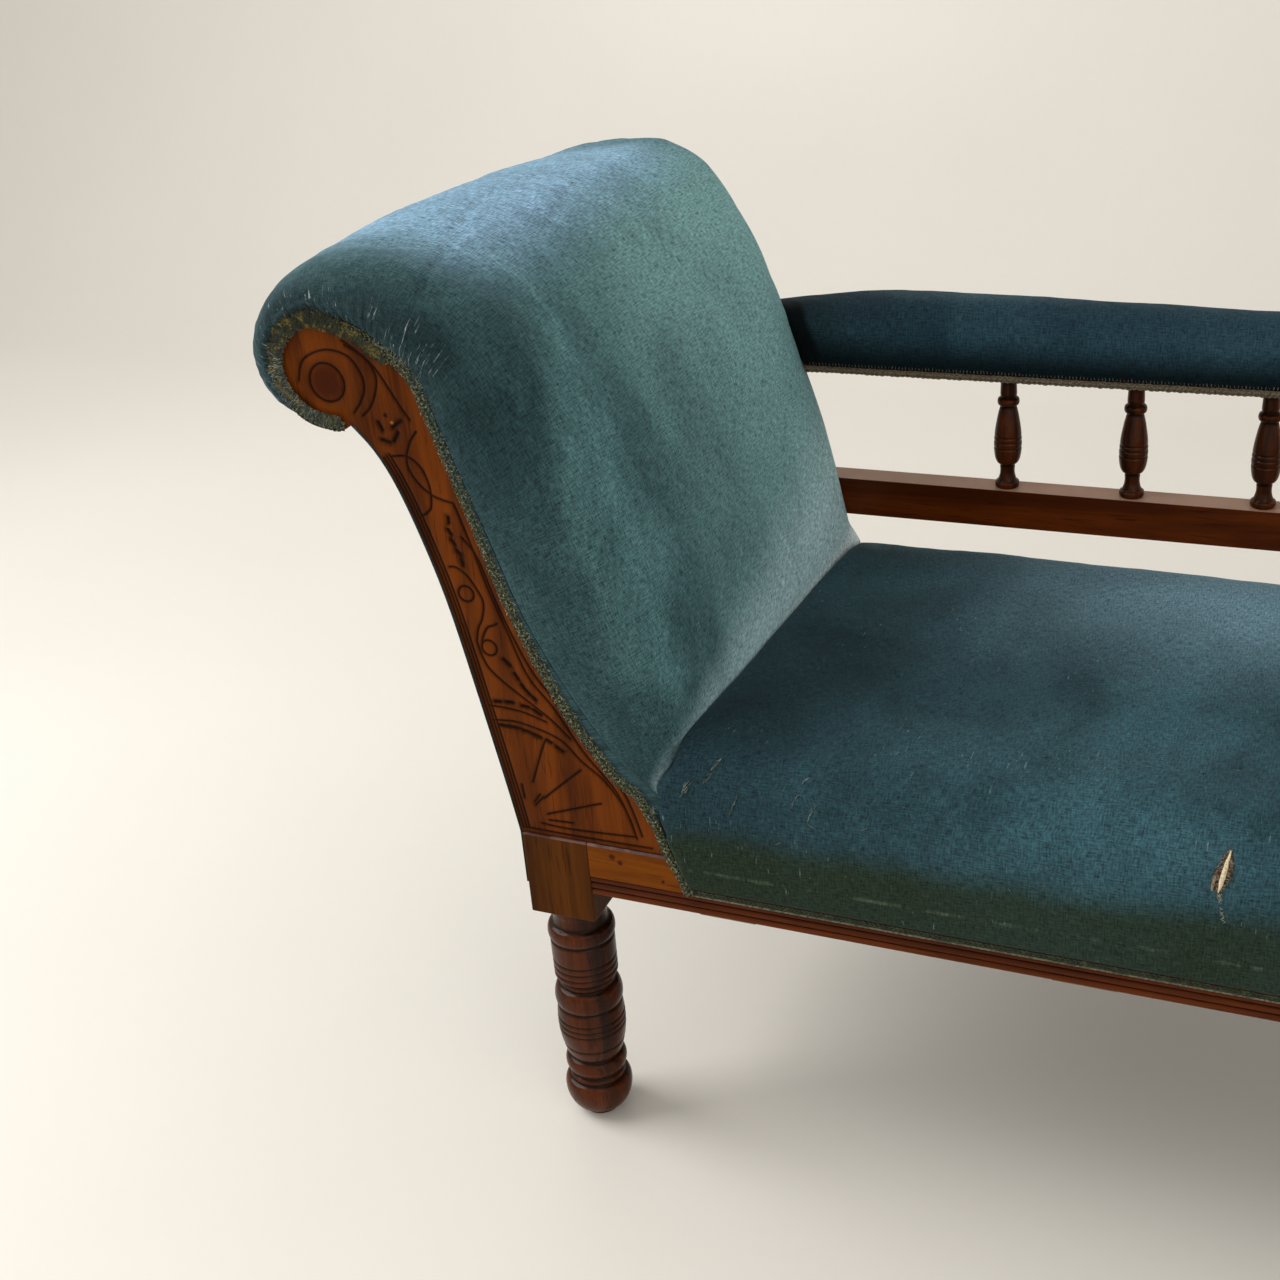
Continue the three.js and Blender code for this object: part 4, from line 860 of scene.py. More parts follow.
def railSectionPoints(inner):  # inner is the depth of the rail from its show face
    reed = reeding["band"] / reeding["count"]
    rows = [(inner, railBottom), (inner, railTop), (reeding["chamfer"], railTop), (0, railTop - reeding["chamfer"]),
            (0, bandTop + 0.8), (0.25, bandTop + 0.2)]
    for number in range(reeding["count"]):
        for share in np.linspace(0.0, 1.0, 11)[:-1]:
            dip = abs(2 * share - 1) ** 3
            rows.append((reeding["crown"] + hollowDepth * dip, bandTop - reed * (number + share)))
    rows.append((reeding["depth"], railBottom))
    return rows


def reededRail(name, length, place, finish, reeds, node):
    section = railSectionPoints(railThickness)
    stations = (blockHalf + fitGap, length / 2, length - blockHalf - fitGap)
    points = np.concatenate([[place(x, depth, z) for depth, z in section] for x in stations])
    piece = meshPiece(name, points, tubeFaces(len(stations), len(section)), smooth=False)
    # the hollows between the reeds get grime and painted shade
    hollows = [((depth - reeding["crown"]) / hollowDepth) ** 2 if z < bandTop and depth <= reeding["depth"] else 0.0
               for depth, z in section]
    setShares(piece.data, "carved", np.tile(hollows, len(stations)))
    dressed(piece, "show_wood", [finish, arrisWearAndHighlight, reeds], node)
    flatten(piece, 1, lambda middle: middle[2] > railTop - arrisBand)
    flatten(piece, 2, lambda middle: railBottom + 0.01 < middle[2] < bandTop)


reededRail("front_rail_reeded", legSpanLength, lambda x, depth, z: (x, frontFace + depth, z), railWood, reedWood,
           "front_rail")
reededRail("foot_rail_reeded", legSpanDepth, lambda y, depth, z: (footFace - depth, y, z), footWood, footReedWood,
           "foot_rail")
repaint(railWood, "back_rail")
repaint(insideWood, "head_rail", "cross_rail", "head_seat_rail", "head_mid_rail", "scroll_rail")
repaint(insideWoodUp, *("corner_block_" + corner for corner in corners))
repaint(galleryWood, "gallery_lower_rail", "gallery_arm_rail")
repaint(bracketWood, "gallery_end_bracket")
print("couch: rails ready")


# Scrolled edge of the side panels, which carries the head upholstery.
# Rows: share of the span towards the head end, share of the rise, and the loft there along X and Z.
headShape = {
    "foot": 116.0, "span": 320.0, "rise": 459.0, "loft": 90.0, "roundOver": 55.0, "softness": 2.3, "crown": 5.0,
    "lip": 2.0, "padStartShare": 0.088, "padStartHeight": 366.0, "spacing": 6.0, "cap": 7.0,
    "edge": [
        (0.0, 0.0, 0.0, 0.0), (0.006, 0.020, 0.0, 0.0), (0.034, 0.120, 0.02, 0.03), (0.116, 0.166, 0.31, 0.16),
        (0.216, 0.257, 0.59, 0.19), (0.313, 0.366, 0.79, 0.31), (0.391, 0.479, 0.88, 0.39),
        (0.450, 0.601, 0.88, 0.43), (0.500, 0.702, 0.78, 0.57), (0.550, 0.808, 0.62, 0.59),
        (0.588, 0.887, 0.40, 0.60), (0.631, 0.926, 0.20, 0.60), (0.684, 0.952, 0.08, 0.56),
        (0.734, 0.976, -0.06, 0.47), (0.803, 0.991, -0.12, 0.38), (0.881, 1.0, -0.20, 0.24),
        (0.963, 0.967, -0.22, 0.22), (1.0, 0.917, -0.30, 0.12), (0.988, 0.858, -0.36, 0.02),
        (0.919, 0.806, -0.38, -0.02), (0.819, 0.791, -0.20, -0.03)],
    "outerEdge": [  # share of the lean out past the block, share of the rise, fuller than the core by
        (0.0, 0.0, 0.8), (0.037, 0.096, 4.2), (0.157, 0.283, 7.2), (0.324, 0.462, 5.6), (0.472, 0.580, 4.4),
        (0.657, 0.688, 1.8), (0.824, 0.756, 0.3), (1.0, 0.802, 0.0)],
    "tuckShare": 0.797,
}
edgePlaces = np.array([(headShape["foot"] - headShape["span"] * a, railTop + headShape["rise"] * b)
                       for a, b, _, _ in headShape["edge"]])
loftPlaces = np.array([(headShape["loft"] * c, headShape["loft"] * d) for _, _, c, d in headShape["edge"]])
outerLean = headFace - (headShape["foot"] - headShape["span"] * headShape["tuckShare"])
outerPlaces = np.array([(headFace - outerLean * lean - fuller, railTop + headShape["rise"] * up)
                        for lean, up, fuller in headShape["outerEdge"]])


def sidewaysOf(line):  # unit vectors square to a line in the XZ plane, to its right
    along = waysAlong(line)
    return np.stack((along[:, 1], -along[:, 0]), axis=1)


def offsetLine(places, shares, offset):
    shares = np.asarray(shares, float)
    ahead, behind = throughPoints(places, shares + 1e-4), throughPoints(places, shares - 1e-4)
    along = (ahead - behind) / np.linalg.norm(ahead - behind, axis=1)[:, None]
    sideways = np.stack((along[:, 1], -along[:, 0]), axis=1)
    return throughPoints(places, shares) + np.asarray(offset, float).reshape(-1, 1) * sideways


def sharesAtSpacing(places, low, high, spacing):  # shares of a line at an even spacing along it
    fine = np.linspace(low, high, 1200)
    lengths = lengthsAlong(throughPoints(places, fine))
    count = int(round(lengths[-1] / spacing)) + 1
    return np.interp(np.linspace(0, lengths[-1], count), lengths, fine)


def edgeAtHeight(height, offset=fitGap):  # X of the scrolled edge at a height, below its top
    shares = np.linspace(0, 0.5, 400)
    line = offsetLine(edgePlaces, shares, offset)
    return np.interp(height, line[:, 1], line[:, 0])


# Carving of the panels: incised lines and gouge cuts, each a short row of points on the face
carving = {
    "lineWidth": 1.1, "lineDepth": 1.1, "gougeWidth": 1.7, "gougeDepth": 1.5,
    "borderInsets": (2.7, 5.7, 8.8), "borderFrom": 0.02, "borderTo": 0.82,
    "lines": [
        [(-183, 724), (-175, 742), (-153, 751), (-133, 747), (-123, 733), (-122, 721), (-127, 710), (-135, 700)],
        [(-134, 756), (-118, 747), (-110, 734), (-111, 722), (-118, 707), (-127, 698)],
        [(-136, 760), (-123, 751), (-109, 738), (-97, 718), (-90, 706), (-84, 697)],
        [(-107, 665), (-92, 666), (-81, 658), (-76, 646), (-75, 636), (-76, 625), (-80, 619), (-87, 615)],
        [(-80, 688), (-87, 679), (-92, 667), (-92, 656), (-86, 645), (-75, 635), (-65, 631), (-55, 629)],
        [(-55, 629), (-43, 589), (-34, 556), (-22, 521), (-7, 479), (14, 451), (37, 413), (65, 376), (79, 334)],
        [(-52, 600), (-40, 583), (-30, 551), (-18, 518), (-2, 483), (18, 456), (42, 417), (70, 380), (84, 338)],
        [(-67, 572), (-61, 572), (-52, 566), (-45, 555), (-40, 543), (-43, 528), (-48, 518), (-51, 506)],
        [(-51, 506), (-48, 493), (-43, 482), (-33, 472), (-20, 462), (2, 446), (13, 437), (26, 424)],
        [(-46, 506), (-44, 512), (-39, 520), (-32, 523), (-30, 525)],
        [(-47, 445.5), (-30, 445), (-13.5, 442.8), (5, 437)],
        [(-46, 431.5), (-26, 433), (-11, 430.7), (6, 426), (20, 419), (33.7, 404), (52.8, 388.3), (66, 370.5),
         (73.9, 353.6), (78, 337)],
        [(2, 419), (-4.7, 402.8), (-14.8, 374.8)], [(32.7, 394.9), (5, 370), (-5.9, 359.9)],
        [(48.5, 364.3), (-3.7, 344.7)], [(77.9, 335.9), (16.4, 332.7), (-10.9, 334)],
        [(-9.4, 363.4), (-15.3, 355.1)], [(-26, 371), (-24.8, 357.6)], [(-5.6, 362), (-14.6, 352.1)],
        [(-3, 338.5), (20, 339.5)], [(-26, 327), (0, 326.5), (40, 326.5), (92, 327)],
    ],
    "circles": [(-156, 724, 16), (-55, 549, 7), (-40, 501, 7)],
    "gouges": [
        [(-114, 694), (-111, 687)], [(-113, 679), (-106, 677)], [(-102, 678), (-97, 686)], [(-101, 690), (-93, 696)],
        [(-62, 617), (-62, 611)], [(-64, 606), (-61, 601)], [(-62, 597), (-59, 592)], [(-59, 588), (-55, 584)],
        [(-55, 580), (-54, 574)],
        [(-28.3, 492.4), (-22.1, 486.5)], [(-19.6, 480.2), (-16.1, 473.9)], [(-14.4, 470.5), (-11.4, 465.9)],
        [(-9.5, 464), (-7.1, 461)], [(-5, 459.5), (-2, 456.6)],
        [(-42, 450), (-36, 450.6)], [(-31, 451), (-24, 451.4)], [(-17, 449.6), (-9.5, 448.9)], [(-5, 447), (1, 443)],
        [(-39.5, 427.5), (-33, 427.3)], [(-29, 427.6), (-23, 427)], [(-19, 426), (-12, 424.5)],
        [(-8.5, 423), (-1.5, 420.8)], [(3, 419.5), (8, 417)], [(12, 414), (18, 410)],
    ],
}


def carvedLines():
    lines = [smoothLine(np.array(row, float), 0.8) for row in carving["lines"]]
    shares = sharesAtSpacing(outerPlaces, carving["borderFrom"], carving["borderTo"], 0.8)
    lines += [offsetLine(outerPlaces, shares, inset) for inset in carving["borderInsets"]]
    for x, z, radius in carving["circles"]:
        angles = np.linspace(0, 2 * math.pi, int(8 * radius))
        lines.append(np.stack((x + radius * np.cos(angles), z + radius * np.sin(angles)), axis=1))
    return lines


def nearest(samples, places):  # distance from each place to the nearest sample
    tree = kdtree.KDTree(len(samples))
    for k, (x, z) in enumerate(samples):
        tree.insert((x, z, 0.0), k)
    tree.balance()
    return np.array([tree.find((x, z, 0.0))[2] for x, z in places])


panelShape = {
    "edgeRounding": 1.1, "coarse": 3.4, "boundary": 1.2, "sharpFrom": 35,
    "besideCuts": (-2.0, -1.0, -0.45, 0.0, 0.45, 1.0, 2.0), "besideEdge": (0.25, 0.8, 1.6, 2.6),
}


def panelOutline():
    inner = offsetLine(edgePlaces, sharesAtSpacing(edgePlaces, 0, 1, panelShape["boundary"]), 0.0)
    outer = offsetLine(outerPlaces, sharesAtSpacing(outerPlaces, 0, 1, panelShape["boundary"]), 0.0)
    bottom = evenly(np.array((outer[0], inner[0])), panelShape["boundary"])[1:-1]
    outline = np.concatenate((inner, outer[::-1], bottom))
    outline[:, 1] = np.maximum(outline[:, 1], railTop + fitGap)
    return outline


def panelPlaces(outline, cuts):  # points of the face, closest together beside the cuts and the edge
    inside = []
    for line in cuts:
        sideways = sidewaysOf(line)
        for offset in panelShape["besideCuts"]:
            every = 2 if abs(offset) > 1.5 else 1
            inside.append(line[::every] + sideways[::every] * offset)
    closed = np.concatenate((outline, outline[:1]))
    for offset in panelShape["besideEdge"]:
        inside.append(outline - sidewaysOf(closed)[:-1] * offset)
        inside.append(outline + sidewaysOf(closed)[:-1] * offset)
    low, high = outline.min(axis=0), outline.max(axis=0)
    xs = np.arange(low[0], high[0], panelShape["coarse"])
    zs = np.arange(low[1], high[1], panelShape["coarse"])
    inside.append(np.array([(x + (k % 2) * panelShape["coarse"] / 2, z) for k, z in enumerate(zs) for x in xs]))
    inside = np.concatenate(inside)
    inside = inside[np.unique(np.round(inside / 0.3), axis=0, return_index=True)[1]]
    return inside[nearest(outline, inside) > 0.2]


def triangulated(places, rim):  # points and triangles inside the rim, which the first points are
    ring = list(range(rim))
    edges = [(k, (k + 1) % rim) for k in ring]
    found, _, triangles, *_ = delaunay_2d_cdt([Vector(p) for p in places], edges, [ring], 1, 1e-5)
    return np.array([tuple(p) for p in found]), triangles


def makePanels():
    outline = panelOutline()
    rim = len(outline)
    lines = carvedLines()
    gouges = [evenly(np.array(row, float), 0.6) for row in carving["gouges"]]
    flat, triangles = triangulated(np.concatenate((outline, panelPlaces(outline, lines + gouges))), rim)
    backFlat, backTriangles = triangulated(outline, rim)
    lineAway, gougeAway, edgeAway = (nearest(rows, flat) for rows in (
        np.concatenate(lines), np.concatenate(gouges), outline))
    cut = carving["lineDepth"] * np.exp(-(lineAway / carving["lineWidth"]) ** 2)
    cut = np.maximum(cut, carving["gougeDepth"] * np.exp(-(gougeAway / carving["gougeWidth"]) ** 2))
    rounding = panelShape["edgeRounding"]
    short = np.clip(rounding - edgeAway, 0, rounding)
    depth = cut + rounding - np.sqrt(rounding ** 2 - short ** 2)
    # cut lines and gouges get grime and painted shade
    carvedShare = np.maximum(np.exp(-(lineAway / 1.3) ** 2), (1.5 * np.exp(-(gougeAway / 2.0) ** 2)).clip(0, 1))
    edgeShare = np.exp(-edgeAway / 2.5)
    front = np.stack((flat[:, 0], panelOuter + depth, flat[:, 1]), axis=1)
    back = np.stack((backFlat[:, 0], np.full(len(backFlat), panelInner), backFlat[:, 1]), axis=1)
    faces = [tuple(face) for face in triangles] + [tuple(k + len(flat) for k in face) for face in backTriangles]
    faces += [(k, (k + 1) % rim, len(flat) + (k + 1) % rim, len(flat) + k) for k in range(rim)]
    points = np.concatenate((front, back))
    for side, places in (("front", points), ("back", toBack(points))):
        piece = meshPiece("side_panel_carved_" + side, places, faces, smooth=False)
        for key, shares in (("carved", carvedShare), ("edge", edgeShare)):
            setShares(piece.data, key, np.concatenate((shares, np.zeros(len(back)))))
        piece.data.shade_smooth()
        piece.data.set_sharp_from_angle(angle=math.radians(panelShape["sharpFrom"]))
        dressed(piece, "show_wood", showWood, "side_panel_" + side)
    print(f"couch: panels carved, {len(faces)} faces each")


makePanels()


# Head upholstery: a grid over the scrolled edge, rounded over at both ends
def headRows():  # depth of each row, and its share of the full loft
    power = 2 / headShape["softness"]
    angles = np.linspace(0, math.pi / 2, 20)
    insets = headShape["roundOver"] * (1 - np.cos(angles).clip(0) ** power)
    near = frontFace + insets
    swell = np.sin(angles) ** power
    between = np.linspace(near[-1], frontFace + backFace - near[-1], 74)[1:-1]
    depths = np.concatenate((near, between, (frontFace + backFace - near)[::-1]))
    return depths, np.concatenate((swell, np.ones(len(between)), swell[::-1]))


def headSurface(shares, depths, swell):
    loft = throughPoints(loftPlaces, shares)
    fullness = np.minimum(1, np.linalg.norm(loft, axis=1) / headShape["roundOver"])
    rows = []
    for depth, share in zip(depths, swell):
        across = 2 * (depth - frontFace) / (backFace - frontFace) - 1
        crown = headShape["crown"] * (1 - across ** 2) * fullness
        line = offsetLine(edgePlaces, shares, fitGap + headShape["lip"] + crown) + loft * share
        rows.append(np.stack((line[:, 0], np.full(len(line), depth), line[:, 1]), axis=1))
    return np.stack(rows, axis=1)


# The braid runs straighter than the edge below the scroll: how far it lies inside the edge, by height
braidDrift = [
    (305, 0), (323, 3), (329, 5), (345, 7), (358, 11), (367, 14), (380, 16), (392, 13), (406, 11.5), (420, 10),
    (434, 9.5), (459, 8), (476, 6), (512, 3), (547, 2), (600, 1), (640, 0)]
coverMargin = {
    "low": 0.03, "high": 0.52, "spacing": 2.0, "thickness": 1.0, "onPanel": 1.5, "tucked": -0.7, "beyondSeam": 60.0,
    "underBraid": 3.0, "bareFrom": 0.14,
}


def driftAt(heights):
    return np.interp(heights, *zip(*braidDrift))


def coverMarginOf(side, length):  # strip of the cover from the stuffing's edge to under the braid
    shares = sharesAtSpacing(edgePlaces, coverMargin["low"], coverMargin["high"], coverMargin["spacing"])
    edge = throughPoints(edgePlaces, shares)[:, 1]
    above = step(headShape["padStartHeight"] + 1, headShape["padStartHeight"] + 6, edge)
    tucked, bareFrom = coverMargin["tucked"], coverMargin["bareFrom"]
    onPanel = panelOuter - coverMargin["onPanel"]
    columns = []
    for t in np.linspace(0, 1, 8):
        inner = offsetLine(edgePlaces, shares, tucked + above * (3.0 - 2.4 * t) * (t < 0.3))
        reach = driftAt(inner[:, 1]) + coverMargin["underBraid"]
        x = inner[:, 0] - reach * np.clip((t - bareFrom) / 0.86, 0, 1)
        outwards = step(bareFrom, 0.8, t ** 0.8)
        depth = frontFace + 0.9 * (t == 0) * above + 0.2 + (onPanel - frontFace - 0.2) * outwards
        columns.append(np.stack((x, np.broadcast_to(depth, x.shape), inner[:, 1]), axis=1))
    grid = np.stack(columns, axis=1)
    if side == "back":
        grid = toBack(grid)
    rows, count = grid.shape[:2]
    along = np.interp(shares, (headShape["padStartShare"], 1), (coverMargin["beyondSeam"], length))
    unrolled = np.stack(np.broadcast_arrays(0.0, along[:, None], np.linspace(6, 0, count)[None, :]), axis=2)
    piece = meshPiece("cover_margin_" + side, grid.reshape(-1, 3), gridFaces(rows, count), unrolled.reshape(-1, 3))
    return thickened(piece, coverMargin["thickness"])


def makeHeadPad():
    depths, swell = headRows()
    fine = np.linspace(headShape["padStartShare"], 1, 800)
    middle = headSurface(fine, [(frontFace + backFace) / 2], [1.0])[:, 0]
    lengths = lengthsAlong(middle)
    count = int(lengths[-1] / headShape["spacing"])
    shares = np.interp(np.linspace(0, lengths[-1], count), lengths, fine)
    grid = headSurface(shares, depths, swell)
    rows, columns = grid.shape[:2]
    acrossLengths = lengthsAlong(grid[rows // 3])
    alongLengths = np.linspace(0, lengths[-1], rows)
    inward = np.minimum(acrossLengths, acrossLengths[-1] - acrossLengths)
    unrolled = np.stack(np.broadcast_arrays(acrossLengths[None, :], alongLengths[:, None], inward[None, :]), axis=2)
    inner = offsetLine(edgePlaces, shares, fitGap)
    innerPoints = np.concatenate([np.stack((inner[:, 0], np.full(rows, y), inner[:, 1]), axis=1)
                                  for y in (frontFace, backFace)])
    innerUnrolled = np.concatenate((unrolled[:, 0], unrolled[:, -1]))
    first, second = rows * columns, rows * columns + rows
    faces = gridFaces(rows, columns)
    for i in range(rows - 1):  # along the webbing and down both sides
        faces.append((first + i, first + i + 1, second + i + 1, second + i))
        faces.append((i * columns, (i + 1) * columns, first + i + 1, first + i))
        faces.append((i * columns + columns - 1, (i + 1) * columns + columns - 1, second + i + 1, second + i))
    faces.append(tuple(range(columns)) + (second, first))
    faces.append(tuple(range((rows - 1) * columns, rows * columns)) + (second + rows - 1, first + rows - 1))
    points = np.concatenate((grid.reshape(-1, 3), innerPoints))
    piece = meshPiece("head_upholstery", points, faces, np.concatenate((unrolled.reshape(-1, 3), innerUnrolled)))
    number = np.arange(len(points))
    row, column = number // columns, number % columns
    held = (number >= first) | (row < 2) | (row > rows - 3) | (column < 1) | (column > columns - 2)
    stuffed(piece, number[held], headShape["cap"])
    subdivided(piece)
    headDetail(piece, lengths[-1], lambda along: np.interp(along, alongLengths, shares))
    pieces = [piece] + [coverMarginOf(side, lengths[-1]) for side in ("front", "back")]
    with bpy.context.temp_override(active_object=piece, selected_editable_objects=pieces):
        bpy.ops.object.join()
    return dressed(piece, "velvet_worn", headCover, "head_pad")


headFolds = {
    "pitch": 11.0, "depth": 1.5, "reach": 26.0, "lumpSize": 80.0, "lumpHeight": 1.4, "creaseHeight": 0.55,
    "creases": [(0.62, 150, 1.3), (0.66, 260, 1.6), (0.60, 330, 1.2)],  # share along, distance across, depth
    "plumpAcross": (0.0, 0.3, 0.58, 0.8, 1.0),  # shares of the width, for the columns below
    "plump": [  # share of the edge, then fuller by at each share of the width
        (0.09, 0, 0, 0, 0, 0), (0.30, 0, 0, 0, 1, 1), (0.38, 0, 0, 2, 3.5, 4), (0.44, 0.5, 1, 4, 7, 8),
        (0.50, 1, 2, 6, 10, 11), (0.56, 2, 3, 6, 8, 9), (0.62, 3, 4, 2.5, 0, -2), (0.68, 3, 6.5, 2, -7, -9),
        (0.75, 3, 7.5, 2.5, -8, -10), (0.85, 2, 7.5, 3, -5, -6), (0.92, -3, 3, 1, -2, -3),
        (1.0, -13, -8, -4, -4, -4)],
}


def throughRows(places, columns, shares):  # value at each share between the columns, with soft changes
    total = columns[0].copy()
    for low, high, before, after in zip(places, places[1:], columns, columns[1:]):
        total += (after - before) * step(low, high, shares)
    return total


def headDetail(piece, length, shareAt):
    points, normals, cloth = pointsOf(piece), normalsOf(piece), unrolledOf(piece)
    inFront, along, edge = cloth.T
    share = shareAt(along)
    onSkin = step(0.5, 6, edge)
    onScroll = step(0.50, 0.66, share)
    wander = lumps(cloth, 30, 3) * 7
    ridges = np.cos(2 * math.pi * (along + wander + 0.2 * edge * lumps(cloth, 60, 4)) / headFolds["pitch"])
    folds = headFolds["depth"] * onScroll * ridges * np.exp(-edge / headFolds["reach"]) * onSkin
    body = onSkin * step(0, 60, along) * step(0, 40, length - along)
    swellings = headFolds["lumpHeight"] * lumps(points, headFolds["lumpSize"], 7) * body * step(10, 60, edge)
    creases = headFolds["creaseHeight"] * onScroll * lumps(cloth * (0.12, 1.0, 1.0), 10, 9) * body
    for place, across, depth in headFolds["creases"]:
        line = place * length + 14 * np.sin((inFront - across) / 60) - 0.0006 * (inFront - across) ** 2
        long = np.exp(-((inFront - across) / 85) ** 4)
        creases = creases - depth * long * np.exp(-((along - line) / 4.5) ** 2) * body
    shares, *columns = np.array(headFolds["plump"]).T
    columns = np.array([np.interp(share, shares, column) for column in columns])
    plump = throughRows(headFolds["plumpAcross"], columns, inFront / inFront.max()) * step(0, 16, edge)
    setPoints(piece, points + normals * (folds + swellings + creases + plump)[:, None])


headPad = makeHeadPad()
headTree = treeOf(headPad)


def besideHead(depth, height, gap):  # X where a piece meets the head upholstery, at a depth and height
    far = start + np.array((lookBackFrom, depth, height)) * mm
    hit = headTree.ray_cast(Vector(far), Vector((-1, 0, 0)))[0]
    edge = edgeAtHeight(height)
    return edge if hit is None else max(edge, (hit.x - start[0]) / mm + gap)


print("couch: head end upholstered")


# Seat upholstery: rings from the hem over the roll edge to the crown, then a flat field.
# Rows: share of the bulge outwards (or of the inset, when negative), share of the loft.
seatShape = {
    "loft": 127.0, "bulge": 7.0, "skin": 2.0, "fall": 36.0, "corner": 40.0, "inset": 200.0, "spacing": 8.0,
    "cornerShare": 0.1, "smallCorner": 8.0, "gimpSlant": 12.0, "springCeiling": 344.6, "overGimp": 2.0,
    "lapFrom": 2.9, "cap": 6.0, "runs": 172, "arcs": 6, "foot": 20,
    "lip": [(330, 0), (345, 4), (360, 8), (380, 9.5), (399, 8.5), (419, 5), (440, 0)],  # over the braid, by height
    "rings": [(0.0, 0.0), (0.65, 0.18), (1.0, 0.42), (1.0, 0.65), (0.30, 0.803), (-0.05, 0.89), (-0.14, 0.953),
              (-0.28, 0.984), (-0.52, 1.0), (-1.0, 1.0)],
}
seatBottom = seatGimpHigh[2] + fitGap
reedTop = seatGimpLow[2] - fitGap


def seatStart(depth, height):  # X where the seat cover begins at the head end
    if height < railTop:
        return headShape["foot"] + fitGap + (railTop - height) * seatShape["gimpSlant"] / (railTop - reedTop)
    corner = edgeAtHeight(min(height, headShape["padStartHeight"]))
    if not frontFace - seatShape["lapFrom"] < depth < backFace + seatShape["lapFrom"]:
        return corner - seatShape["overGimp"] - np.interp(height, *zip(*seatShape["lip"]))
    if height < headShape["padStartHeight"] or not frontFace < depth < backFace:
        return corner
    return max(corner, besideHead(depth, height, 0.8))


def ringPlan(grow, radius, startFront, startBack):
    runs, arcs, foot = (seatShape[key] for key in ("runs", "arcs", "foot"))
    x1, y0, y1 = footFace + grow, frontFace - grow, backFace + grow
    front = [(startFront + (x1 - radius - startFront) * u, y0) for u in np.linspace(0, 1, runs)]
    back = [(startBack + (x1 - radius - startBack) * u, y1) for u in np.linspace(1, 0, runs)]
    turns = np.linspace(0, math.pi / 2, arcs + 2)[1:-1]
    first = [(x1 - radius + radius * math.sin(a), y0 + radius - radius * math.cos(a)) for a in turns]
    side = [(x1, y) for y in np.linspace(y0 + radius, y1 - radius, foot)]
    second = [(x1 - radius + radius * math.cos(a), y1 - radius + radius * math.sin(a)) for a in turns]
    return np.array(front + first + side + second + back)


def seatRings():  # grow, radius, height share and length from the crown, from the hem inwards
    rows = np.array([(seatShape["bulge"] * out if out > 0 else seatShape["inset"] * out, seatShape["loft"] * up)
                     for out, up in seatShape["rings"]])
    line = smoothLine(rows, seatShape["spacing"])
    lengths = lengthsAlong(line)
    hem = fitGap + seatShape["skin"]
    rings = []
    for (spread, height), length in zip(line, lengths):
        up = height / seatShape["loft"]
        inwards = max(0.0, -spread / seatShape["inset"])
        radius = seatShape["corner"] * max(seatShape["cornerShare"], up) * (1 - inwards)
        rings.append((hem + spread, radius + seatShape["smallCorner"] * inwards, up, lengths[-1] - length))
    return rings


def riseAt(depth):
    towardsBack = max(0.0, (depth - frontFace) / (backFace - frontFace))
    return seatShape["loft"] - seatShape["fall"] * towardsBack


